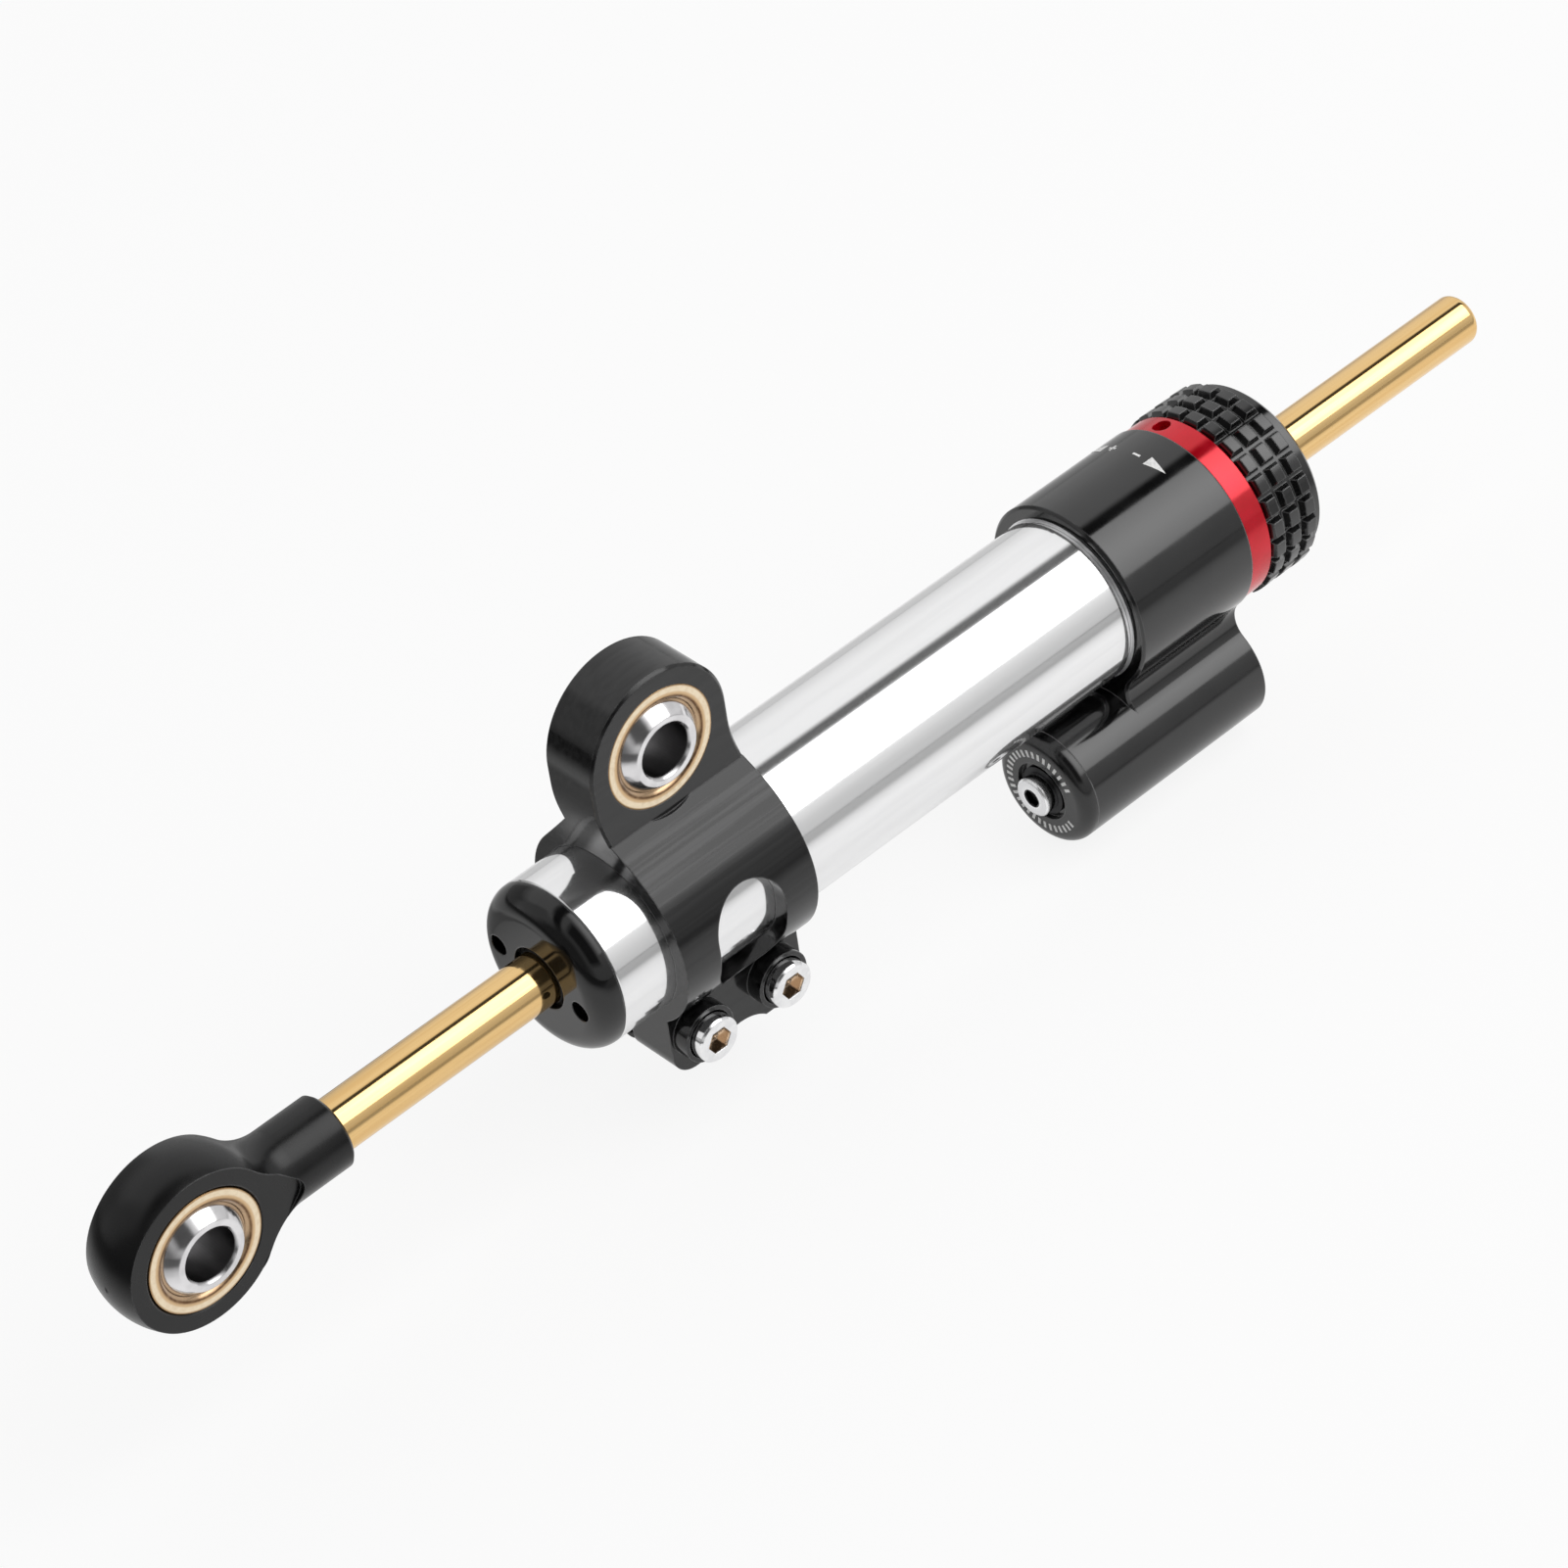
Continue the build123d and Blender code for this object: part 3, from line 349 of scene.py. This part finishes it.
def goldRod(name):
    finish, tree, shader = newFinish(name)
    streak = drawnGrain(tree, gold["along"], gold["across"])
    colour = twoTones(tree, streak, gold)
    rough = rangeNode(tree, streak, noiseSpread, gold["rough"])
    dress(tree, shader, gold, colour, rough, streak, softEdges(tree, gold["edgeRadius"]))
    return finish


smallMetal = {
    "toneLevels": (0.35, 0.65),
    "patch": (900, 4.0),
    "grain": (5400, 2.0),
    "metal": 1.0,
    "bump": 0.08,
    "bumpDepth": 0.01 * mm,
    "edgeRadius": 0.12 * mm,
}
metals = {
    "sleeve grey": {"tones": ((0.4, 0.41, 0.43), (0.5, 0.51, 0.53)), "rough": (0.25, 0.4)},
    "piston metal": {"tones": ((0.6, 0.61, 0.63), (0.75, 0.76, 0.78)), "rough": (0.2, 0.35)},
    "small steel": {"tones": ((0.4, 0.4, 0.42), (0.55, 0.55, 0.57)), "rough": (0.25, 0.4)},
    "bush bronze": {"tones": ((0.5, 0.3, 0.14), (0.62, 0.4, 0.2)), "rough": (0.3, 0.45)},
    "seal washer": {"tones": ((0.016, 0.016, 0.017), (0.03, 0.03, 0.031)), "rough": (0.3, 0.45)},
}


def plainMetal(name):
    look = {**smallMetal, **metals[name]}
    finish, tree, shader = newFinish(name)
    point, _ = objectAxes(tree)
    patch = noiseNode(tree, point, *look["patch"])
    grain = noiseNode(tree, point, *look["grain"])
    colour = twoTones(tree, patch, look)
    rough = rangeNode(tree, patch, noiseSpread, look["rough"])
    dress(tree, shader, look, colour, rough, grain, softEdges(tree, look["edgeRadius"]))
    return finish


race = {
    # colours by radius paint the light on the race's rounded face: painted shade at the outer rim and in the
    # gap by the ball, a painted highlight on the crest
    "rim": (0.42, 0.25, 0.11),
    "crestHighlight": (0.93, 0.79, 0.58),
    "shade": (0.7, 0.48, 0.27),
    "gapShade": (0.13, 0.06, 0.025),
    "mouth": (0.6, 0.42, 0.26),
    # radii from the bolt's axis, from the mouth outward
    "places": (
        ("mouth", 7.15 * mm),
        ("gapShade", 7.45 * mm),
        ("shade", 7.9 * mm),
        ("crestHighlight", 8.3 * mm),
        ("crestHighlight", 8.8 * mm),
        ("rim", 9.12 * mm),
    ),
    "reach": (6.5 * mm, 9.5 * mm),  # the ramp's two ends
    "patch": (1300, 3.0),
    "shadeLevels": (0.4, 0.8),
    "shadeShares": (0, 0.35),
    "rings": (2500, 2.0),
    "metal": 0.9,
    "rough": (0.16, 0.26),
    "bump": 0.15,
    "bumpDepth": 0.02 * mm,
    "edgeRadius": 0.35 * mm,
}


def raceBronze(name, eyeX, eyeZ):
    # a painted highlight on its crest and painted shade at both edges and in the gap by the ball, for the
    # light on its rounded face
    finish, tree, shader = newFinish(name)
    point, (x, y, z) = objectAxes(tree)
    radius = distanceFrom(tree, x, z, eyeX, eyeZ)
    inner, outer = race["reach"]
    stops = [((place - inner) / (outer - inner), race[tone]) for tone, place in race["places"]]
    colour = rampNode(tree, rise(tree, radius, race["reach"]), stops)
    patch = noiseNode(tree, point, *race["patch"])
    shade = rangeNode(tree, patch, race["shadeLevels"], race["shadeShares"])
    colour = mixColours(tree, shade, colour, race["shade"])
    rough = rangeNode(tree, patch, noiseSpread, race["rough"])
    rings = noiseNode(tree, combined(tree, y, radius, 0.0), *race["rings"])
    dress(tree, shader, race, colour, rough, rings, softEdges(tree, race["edgeRadius"]))
    return finish


ball = {
    "tones": ((0.7, 0.69, 0.7), (0.86, 0.85, 0.86)),
    "toneLevels": (0.3, 0.7),
    "patch": (350, 2.0),
    "boreRadius": 4.12 * mm,
    "boreFade": 0.2 * mm,
    # painted shade inside the bolt hole
    "boreShade": (0.016, 0.014, 0.015),
    "rings": (1500, 2.0),
    "metal": 1.0,
    "rough": (0.33, 0.15),  # in the bore and outside it
    "bump": 0.2,
    "bumpDepth": 0.03 * mm,
    "edgeRadius": 0.3 * mm,
}


def ballSteel(name, eyeX, eyeZ):
    # bright outside, with painted shade in its bolt hole, which the reamer left ringed
    finish, tree, shader = newFinish(name)
    point, (x, y, z) = objectAxes(tree)
    radius = distanceFrom(tree, x, z, eyeX, eyeZ)
    fade = (ball["boreRadius"] - ball["boreFade"], ball["boreRadius"] + ball["boreFade"])
    outside = rise(tree, radius, fade)
    steel = twoTones(tree, noiseNode(tree, point, *ball["patch"]), ball)
    colour = mixColours(tree, outside, ball["boreShade"], steel)
    rough = rangeNode(tree, outside, (0, 1), ball["rough"])
    rings = noiseNode(tree, combined(tree, y, radius, 0.0), *ball["rings"])
    dress(tree, shader, ball, colour, rough, rings, softEdges(tree, ball["edgeRadius"]))
    return finish


screws = {
    "places": (-4.8 * mm, 9.1 * mm),  # their axes along X
    "height": -44.9 * mm,
    "socketRadius": 2.12 * mm,
    "socketMouth": -13.2 * mm,
    "socketFloor": -9.5 * mm,
    # painted shade, brownish, inside the hex sockets
    "socket": (0.5, 0.42, 0.34),
    "tones": ((0.86, 0.86, 0.87), (0.95, 0.95, 0.955)),
    "toneLevels": (0.35, 0.65),
    "patch": (700, 3.0),
    "grain": (4200, 2.0),
    "metal": 1.0,
    "rough": (0.06, 0.14),
    "bump": 0.05,
    "bumpDepth": 0.01 * mm,
    "edgeRadius": 0.25 * mm,
}


def screwChrome(name):
    # chrome, with painted shade in the sockets, a darker brownish tone
    finish, tree, shader = newFinish(name)
    point, (x, y, z) = objectAxes(tree)
    axes = [distanceFrom(tree, x, z, place, screws["height"]) for place in screws["places"]]
    inside = product(
        tree,
        mathNode(tree, "LESS_THAN", mathNode(tree, "MINIMUM", *axes), screws["socketRadius"]),
        mathNode(tree, "GREATER_THAN", y, screws["socketMouth"]),
        mathNode(tree, "LESS_THAN", y, screws["socketFloor"]),
    )
    patch = noiseNode(tree, point, *screws["patch"])
    grain = noiseNode(tree, point, *screws["grain"])
    colour = mixColours(tree, inside, twoTones(tree, patch, screws), screws["socket"])
    rough = rangeNode(tree, patch, noiseSpread, screws["rough"])
    dress(tree, shader, screws, colour, rough, grain, softEdges(tree, screws["edgeRadius"]))
    return finish


plug = {
    "tones": ((0.8, 0.8, 0.81), (0.93, 0.93, 0.935)),
    "toneLevels": (0.35, 0.65),
    "ringScale": 2200,
    "holeRadius": 1.5 * mm,
    # painted shade inside the socket
    "hole": (0.05, 0.05, 0.052),
    "metal": 1.0,
    "rough": (0.12, 0.22),
    "bump": 0.06,
    "bumpDepth": 0.01 * mm,
    "edgeRadius": 0.5 * mm,
}


def plugSteel(name):
    # a bright screw head round a socket with painted shade
    finish, tree, shader = newFinish(name)
    rings, radius = turnedGrain(tree, reservoirY, reservoirZ, plug["ringScale"])
    inside = mathNode(tree, "LESS_THAN", radius, plug["holeRadius"])
    colour = mixColours(tree, inside, twoTones(tree, rings, plug), plug["hole"])
    rough = rangeNode(tree, rings, noiseSpread, plug["rough"])
    dress(tree, shader, plug, colour, rough, rings, softEdges(tree, plug["edgeRadius"]))
    return finish


ringRed = {
    "tones": ((0.6, 0.001, 0.012), (0.7, 0.002, 0.02)),
    "toneLevels": (0.3, 0.7),
    "patch": (220, 3.0),
    "ringScale": 1400,
    "metal": 0.48,
    "ior": 1.72,
    "rough": (0.1, 0.18),
    "bump": 0.03,
    "bumpDepth": 0.01 * mm,
    "edgeRadius": 0.2 * mm,
}


def redAnodised(name):
    finish, tree, shader = newFinish(name)
    rings, _ = turnedGrain(tree, 0.0, damperHeight, ringRed["ringScale"])
    point, _ = objectAxes(tree)
    patch = noiseNode(tree, point, *ringRed["patch"])
    colour = twoTones(tree, patch, ringRed)
    rough = rangeNode(tree, patch, noiseSpread, ringRed["rough"])
    shader.inputs["IOR"].default_value = ringRed["ior"]
    dress(tree, shader, ringRed, colour, rough, rings, softEdges(tree, ringRed["edgeRadius"]))
    return finish


moulded = {
    "toneLevels": (0.3, 0.7),
    "patch": (1400, 4.0),
    "metal": 0.0,
    "bump": 0.2,
    "bumpDepth": 0.02 * mm,
}
mouldings = {
    "seal rubber": {"tones": ((0.012, 0.012, 0.013), (0.026, 0.026, 0.027)), "rough": (0.52, 0.68)},
    "slide plastic": {"tones": ((0.05, 0.2, 0.12), (0.07, 0.26, 0.16)), "rough": (0.32, 0.48)},
}


def mouldedPiece(name):
    look = {**moulded, **mouldings[name]}
    finish, tree, shader = newFinish(name)
    point, _ = objectAxes(tree)
    patch = noiseNode(tree, point, *look["patch"])
    rough = rangeNode(tree, patch, noiseSpread, look["rough"])
    dress(tree, shader, look, twoTones(tree, patch, look), rough, patch)
    return finish


ink = {
    "tones": ((0.7, 0.7, 0.7), (0.88, 0.88, 0.87)),
    "toneLevels": (0.3, 0.6),
    "patch": (2600, 4.0),
    "metal": 0.0,
    "rough": (0.45, 0.65),
    "bump": 0.3,
    "bumpDepth": 0.01 * mm,
}


def whitePrint(name):
    finish, tree, shader = newFinish(name)
    point, _ = objectAxes(tree)
    patch = noiseNode(tree, point, *ink["patch"])
    rough = rangeNode(tree, patch, (0, 1), ink["rough"])
    dress(tree, shader, ink, twoTones(tree, patch, ink), rough, patch)
    return finish


# by the material that a piece has in the part
finishes = {
    "black_anodised": blackAnodised("gloss black anodised"),
    "knob_black": blackAnodised("knob black"),
    "polished_tube": polishedTube("polished tube"),
    "gold_rod": goldRod("gold rod"),
    "bearing_bronze": raceBronze("clamp race bronze", 0.0, 0.0),
    "bearing_steel": ballSteel("clamp ball steel", 0.0, 0.0),
    "screw_steel": screwChrome("screw chrome"),
    "ring_red": redAnodised("red anodised"),
    "sleeve_grey": plainMetal("sleeve grey"),
    "piston_metal": plainMetal("piston metal"),
    "steel_parts": plainMetal("small steel"),
    "bush_bronze": plainMetal("bush bronze"),
    "seal_rubber": mouldedPiece("seal rubber"),
    "slide_plastic": mouldedPiece("slide plastic"),
    "seal_washer": plainMetal("seal washer"),
}
# pieces that look different from the rest of their material
special = {
    "rod_end_race": raceBronze("rod end race bronze", -eyeSpacing, damperHeight),
    "rod_end_ball": ballSteel("rod end ball steel", -eyeSpacing, damperHeight),
    "clamp_bracket": blackAnodised("clamp black"),
    "front_end_cap": blackAnodised("cap black"),
    "rod_end": blackAnodised("satin black rod end"),
    "fill_screw": plugSteel("fill screw steel"),
    "reservoir_end_cap": blackAnodised("turned black lid"),
}
for name, node in nodes.items():
    finish = special.get(name) or finishes[node.material_slots[0].name.split(".")[0]]
    for slot in node.material_slots:
        slot.material = finish
print("stage: finishes on", len(nodes), "nodes")


# helpers for modelling
def deselectAll():
    if bpy.context.object and bpy.context.object.mode != "OBJECT":
        bpy.ops.object.mode_set(mode="OBJECT")
    bpy.ops.object.select_all(action="DESELECT")


def makeActive(piece):
    deselectAll()
    piece.select_set(True)
    bpy.context.view_layer.objects.active = piece


def editAll(piece):
    makeActive(piece)
    bpy.ops.object.mode_set(mode="EDIT")
    bpy.ops.mesh.select_all(action="SELECT")


def settle(piece):
    makeActive(piece)
    bpy.ops.object.transform_apply(location=True, rotation=True, scale=True)


def turnRound(turn, centre):
    # with no window, transform.rotate turns the other way
    bpy.ops.transform.rotate(value=-math.radians(turn), orient_axis="X", center_override=centre)


def joinPieces(name, pieces):
    makeActive(pieces[0])
    for piece in pieces:
        piece.select_set(True)
    bpy.ops.object.join()
    piece = bpy.context.object
    piece.name = piece.data.name = name
    return piece


# printed marks on the housing's barrel
marks = {
    "x": 95.9 * mm,
    "radius": 15.05 * mm,
    "start": 1 * mm,  # the flat pieces are made this far above the barrel's top
    "cuts": 11,  # enough faces to follow the barrel
    "gap": 0.014 * mm,  # under the ink
    "inkHeight": 0.03 * mm,
    "arrowLength": 3.9 * mm,
    "arrowWidth": 1.95 * mm,
    "barLength": 1.5 * mm,
    "barWidth": 0.42 * mm,
    # degrees round the barrel: 0 on its far side, 90 on top, 180 towards the camera
    "top": 90,
    "arrowTurns": (98.3, 54.4),
    "minusTurn": 85.6,
    "plusTurn": 66.5,
}
overBarrel = (marks["x"], 0, damperHeight + marks["radius"] + marks["start"])


def flatBar(tilt):
    bpy.ops.mesh.primitive_plane_add(size=1, location=overBarrel)
    piece = bpy.context.object
    piece.scale = (marks["barWidth"], marks["barLength"], 1)
    piece.rotation_euler = (0, 0, math.radians(tilt))
    settle(piece)
    return piece


def flatArrow(way):
    # a triangle of radius 1 is sqrt(3) wide and 1.5 long
    bpy.ops.mesh.primitive_circle_add(vertices=3, radius=1, fill_type="NGON", location=overBarrel)
    piece = bpy.context.object
    piece.scale = (marks["arrowWidth"] / math.sqrt(3), marks["arrowLength"] / 1.5 * way, 1)
    settle(piece)
    return piece


def printOnBarrel(piece, turn):
    # goes round to its place over the barrel, settles on it, then gets its ink height
    editAll(piece)
    bpy.ops.mesh.quads_convert_to_tris()
    bpy.ops.mesh.subdivide(number_cuts=marks["cuts"])
    turnRound(turn - marks["top"], (0, 0, damperHeight))
    bpy.ops.object.mode_set(mode="OBJECT")
    wrap = piece.modifiers.new("wrap", "SHRINKWRAP")
    wrap.target = nodes["adjuster_housing"]
    wrap.wrap_method = "NEAREST_SURFACEPOINT"
    wrap.wrap_mode = "ABOVE_SURFACE"
    wrap.offset = marks["gap"]
    bpy.ops.object.modifier_apply(modifier="wrap")
    thicken = piece.modifiers.new("ink", "SOLIDIFY")
    thicken.thickness = marks["inkHeight"]
    thicken.offset = 1
    bpy.ops.object.modifier_apply(modifier="ink")
    editAll(piece)
    bpy.ops.mesh.normals_make_consistent(inside=False)
    bpy.ops.object.mode_set(mode="OBJECT")
    return piece


inked = []
for turn, way in zip(marks["arrowTurns"], (-1, 1)):
    inked.append(printOnBarrel(flatArrow(way), turn))
for turn, tilt in ((marks["minusTurn"], 0), (marks["plusTurn"], 0), (marks["plusTurn"], 90)):
    inked.append(printOnBarrel(flatBar(tilt), turn))
barrelMarks = joinPieces("barrel_marks", inked)
barrelMarks.data.materials.append(whitePrint("white print"))
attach(barrelMarks, "cylinder")
print("stage: printed marks")


# ring of ticks on the reservoir's lid
ticks = {
    "face": 64.1 * mm,  # the lid's face, along X
    "ringRadius": 6.35 * mm,
    "length": 1.15 * mm,
    "width": 0.5 * mm,
    "height": 0.03 * mm,  # above the face, and as much below it
    "bevel": 0.015 * mm,
    "step": 10,  # degrees from tick to tick
    "gap": (65, 115),  # no ticks between these degrees
}


def topTick():
    place = (ticks["face"], reservoirY, reservoirZ + ticks["ringRadius"])
    bpy.ops.mesh.primitive_cube_add(size=1, location=place)
    tick = bpy.context.object
    tick.scale = (2 * ticks["height"], ticks["width"], ticks["length"])
    settle(tick)
    editAll(tick)
    bpy.ops.mesh.bevel(offset=ticks["bevel"], segments=1)
    bpy.ops.object.mode_set(mode="OBJECT")
    return tick


def copyRound(piece, turn):
    makeActive(piece)
    bpy.ops.object.duplicate()
    editAll(bpy.context.object)
    turnRound(turn, (0, reservoirY, reservoirZ))
    bpy.ops.object.mode_set(mode="OBJECT")
    return bpy.context.object


made = [topTick()]
gapStart, gapEnd = ticks["gap"]
for turn in range(ticks["step"], 360, ticks["step"]):
    if not gapStart < turn < gapEnd:
        made.append(copyRound(made[0], turn))
lidRing = joinPieces("lid_ticks", made)
lidRing.data.materials.append(bpy.data.materials["white print"])
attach(lidRing, "cylinder")
print("stage: lid ticks")


# floor, room, lamp and camera
floorLook = {
    "size": 6.0,
    "drop": 0.4 * mm,  # below the part
    "colour": grey(0.88),
    "glow": 0.87,  # share of the floor that shows as plain white to the camera
    "sheetGlow": 0.55,  # the same in reflections, on the lit sheet
    "sheetAlong": (-0.19, -0.1, 2.5, 2.9),  # the lit sheet's edges in reflections, along X
    "sheetFront": (-0.19, -0.075),  # and along Y
    "sheetBack": (0.05, 0.11),
    "sheetBackLevel": 0.35,
    "sheetPale": grey(0.97),
    "sheetDim": grey(0.4),
    "sheetEnds": grey(0.15),
    # painted shade: a darker patch behind the clamp, which its end faces mirror
    "shadeAlong": (-0.075, -0.06, -0.012, 0.0),
    "shadeAcross": (0.027, 0.045, 0.08, 0.1),
    "shadeLevel": 0.28,
}


def paperFloor(name):
    # the camera sees plain white paper, and the object mirrors a sheet whose glow is painted light, pale
    # near it and dimming away from it
    look = floorLook
    paper = bpy.data.materials.new(name)
    paper.use_nodes = True
    tree = paper.node_tree
    tree.nodes.remove(tree.nodes["Principled BSDF"])
    _, (x, y, _) = objectAxes(tree)
    back = rangeNode(tree, y, look["sheetBack"], (1, look["sheetBackLevel"]))
    across = product(tree, rise(tree, y, look["sheetFront"]), back)
    along = window(tree, x, look["sheetAlong"])
    patch = product(tree, window(tree, x, look["shadeAlong"]), window(tree, y, look["shadeAcross"]))
    # painted light and shade for reflections: where the sheet glows, and the darker patch
    paintedSheetGlow = product(tree, across, along, rangeNode(tree, patch, (0, 1), (1, look["shadeLevel"])))
    sheet = mixColours(tree, across, look["sheetDim"], look["sheetPale"])
    sheet = mixColours(tree, along, look["sheetEnds"], sheet)
    sheet = mixColours(tree, patch, sheet, grey(look["shadeLevel"]))
    ray = tree.nodes.new("ShaderNodeLightPath").outputs
    diffuse = tree.nodes.new("ShaderNodeBsdfDiffuse")
    tree.links.new(mixColours(tree, ray["Is Camera Ray"], sheet, look["colour"]), diffuse.inputs["Color"])
    glow = tree.nodes.new("ShaderNodeEmission")
    toCamera = product(tree, ray["Is Camera Ray"], look["glow"])
    toMetal = product(tree, ray["Is Glossy Ray"], paintedSheetGlow, look["sheetGlow"])
    mix = tree.nodes.new("ShaderNodeMixShader")
    tree.links.new(mathNode(tree, "ADD", toCamera, toMetal), mix.inputs[0])
    tree.links.new(diffuse.outputs[0], mix.inputs[1])
    tree.links.new(glow.outputs[0], mix.inputs[2])
    tree.links.new(mix.outputs[0], tree.nodes["Material Output"].inputs["Surface"])
    return paper


deselectAll()
floorPlace = (0, 0, cadBox[0].z - floorLook["drop"])
bpy.ops.mesh.primitive_plane_add(size=floorLook["size"], location=floorPlace)
floor = bpy.context.object
floor.name = "floor"
settle(floor)
floor.data.materials.append(paperFloor("paper floor"))

room = {
    # brightness by degrees round the damper's axis: 0 behind, 90 overhead, 180 in front
    "bands": (
        (-180, 0.5),
        (-150, 0.6),
        (-30, 0.65),
        (0, 0.7),
        (12, 0.78),
        (24, 0.88),
        (45, 0.9),
        (73, 0.92),
        (78.5, 0.03),
        (89.5, 0.02),
        (91, 0.75),
        (150, 0.74),
        (158, 0.7),
        (168, 0.6),
        (180, 0.55),
    ),
    # dark cards: edges in degrees round as above, edges along X as shares of the direction, and level
    "cards": (
        ((98, 106, 156, 166), (-0.75, -0.6, -0.12, 0.0), 0.08),
        ((-35, -15, 22, 38), (-0.64, -0.48, 0.24, 0.4), 0.3),
        ((2, 18, 62, 76), (-0.9, -0.78, -0.5, -0.38), 0.55),
    ),
    "tipShares": (0.82, 0.97),  # the wall beyond the rod's tip, from and to these shares along X
    "tipLevel": 0.72,
    "rodEndShares": (-0.6, -0.88),  # and the wall beyond the rod end
    "rodEndLevel": 0.16,
}


def roomLight(name):
    world = bpy.data.worlds.new(name)
    world.use_nodes = True
    tree = world.node_tree
    split = tree.nodes.new("ShaderNodeSeparateXYZ")
    tree.links.new(tree.nodes.new("ShaderNodeTexCoord").outputs["Generated"], split.inputs[0])
    x, y, z = split.outputs
    around = mathNode(tree, "ARCTAN2", z, y)
    bands = [((angle + 180) / 360, grey(level)) for angle, level in room["bands"]]
    shade = rampNode(tree, rise(tree, around, (-math.pi, math.pi)), bands, smooth=False)
    shade = mixColours(tree, rise(tree, x, room["tipShares"]), shade, grey(room["tipLevel"]))
    shade = mixColours(tree, rise(tree, x, room["rodEndShares"]), shade, grey(room["rodEndLevel"]))
    for degrees, shares, level in room["cards"]:
        edges = [math.radians(angle) for angle in degrees]
        card = product(tree, window(tree, around, edges), window(tree, x, shares))
        shade = mixColours(tree, card, shade, grey(level))
    ray = tree.nodes.new("ShaderNodeLightPath").outputs
    colour = mixColours(tree, ray["Is Camera Ray"], shade, grey(1))
    tree.links.new(colour, tree.nodes["Background"].inputs["Color"])
    return world


bpy.context.scene.world = roomLight("studio")

box = {
    "along": 0.6,  # place along X
    "turn": 120.5,  # degrees round the damper, as for the room
    "distance": 1.0,
    "size": (1.1, 1.13),
    "power": 9.2,
    "rimShares": (0.08, 0.5),  # of its width, from its middle: where it starts to fade, and its edge
    "rimLevel": 0.68,
    "endShares": (0.0, 0.3),  # of its length, from one end
    "endLevel": 0.3,
}


def softBox(name):
    # an area lamp that fades from its middle to its edges, as a lamp behind cloth does
    turn = math.radians(box["turn"])
    lamp = bpy.data.lights.new(name, "AREA")
    lamp.shape = "RECTANGLE"
    lamp.size, lamp.size_y = box["size"]
    lamp.energy = box["power"]
    lamp.use_nodes = True
    tree = lamp.node_tree
    split = tree.nodes.new("ShaderNodeSeparateXYZ")
    tree.links.new(tree.nodes.new("ShaderNodeNewGeometry").outputs["Parametric"], split.inputs[0])
    length, width, _ = split.outputs
    fromMiddle = mathNode(tree, "ABSOLUTE", mathNode(tree, "SUBTRACT", width, 0.5))
    rim = rangeNode(tree, fromMiddle, box["rimShares"], (1, box["rimLevel"]))
    end = rangeNode(tree, length, box["endShares"], (box["endLevel"], 1))
    tree.links.new(product(tree, rim, end), tree.nodes["Emission"].inputs["Strength"])
    place = bpy.data.objects.new(name, lamp)
    height = damperHeight + box["distance"] * math.sin(turn)
    place.location = (box["along"], box["distance"] * math.cos(turn), height)
    place.rotation_euler = (turn - math.pi / 2, 0, 0)
    bpy.context.scene.collection.objects.link(place)
    place.visible_camera = False


softBox("soft box")

view = {
    "place": (-334.88, -458.23, 479.37),  # millimetres
    "right": (0.71969, -0.68529, -0.11147),
    "up": (0.51543, 0.41979, 0.74707),
    "lens": 128.59,
    "clip": (0.01, 20),
}
camera = bpy.data.objects.new("camera", bpy.data.cameras.new("camera"))
camera.data.lens = view["lens"]
camera.data.clip_start, camera.data.clip_end = view["clip"]
right, up = Vector(view["right"]), Vector(view["up"])
facing = Matrix((right, up, right.cross(up))).transposed().to_4x4()
camera.matrix_world = Matrix.Translation(Vector(view["place"]) * mm) @ facing
bpy.context.scene.collection.objects.link(camera)
bpy.context.scene.camera = camera
bpy.context.scene.view_settings.view_transform = "Standard"
print("stage: studio and camera")
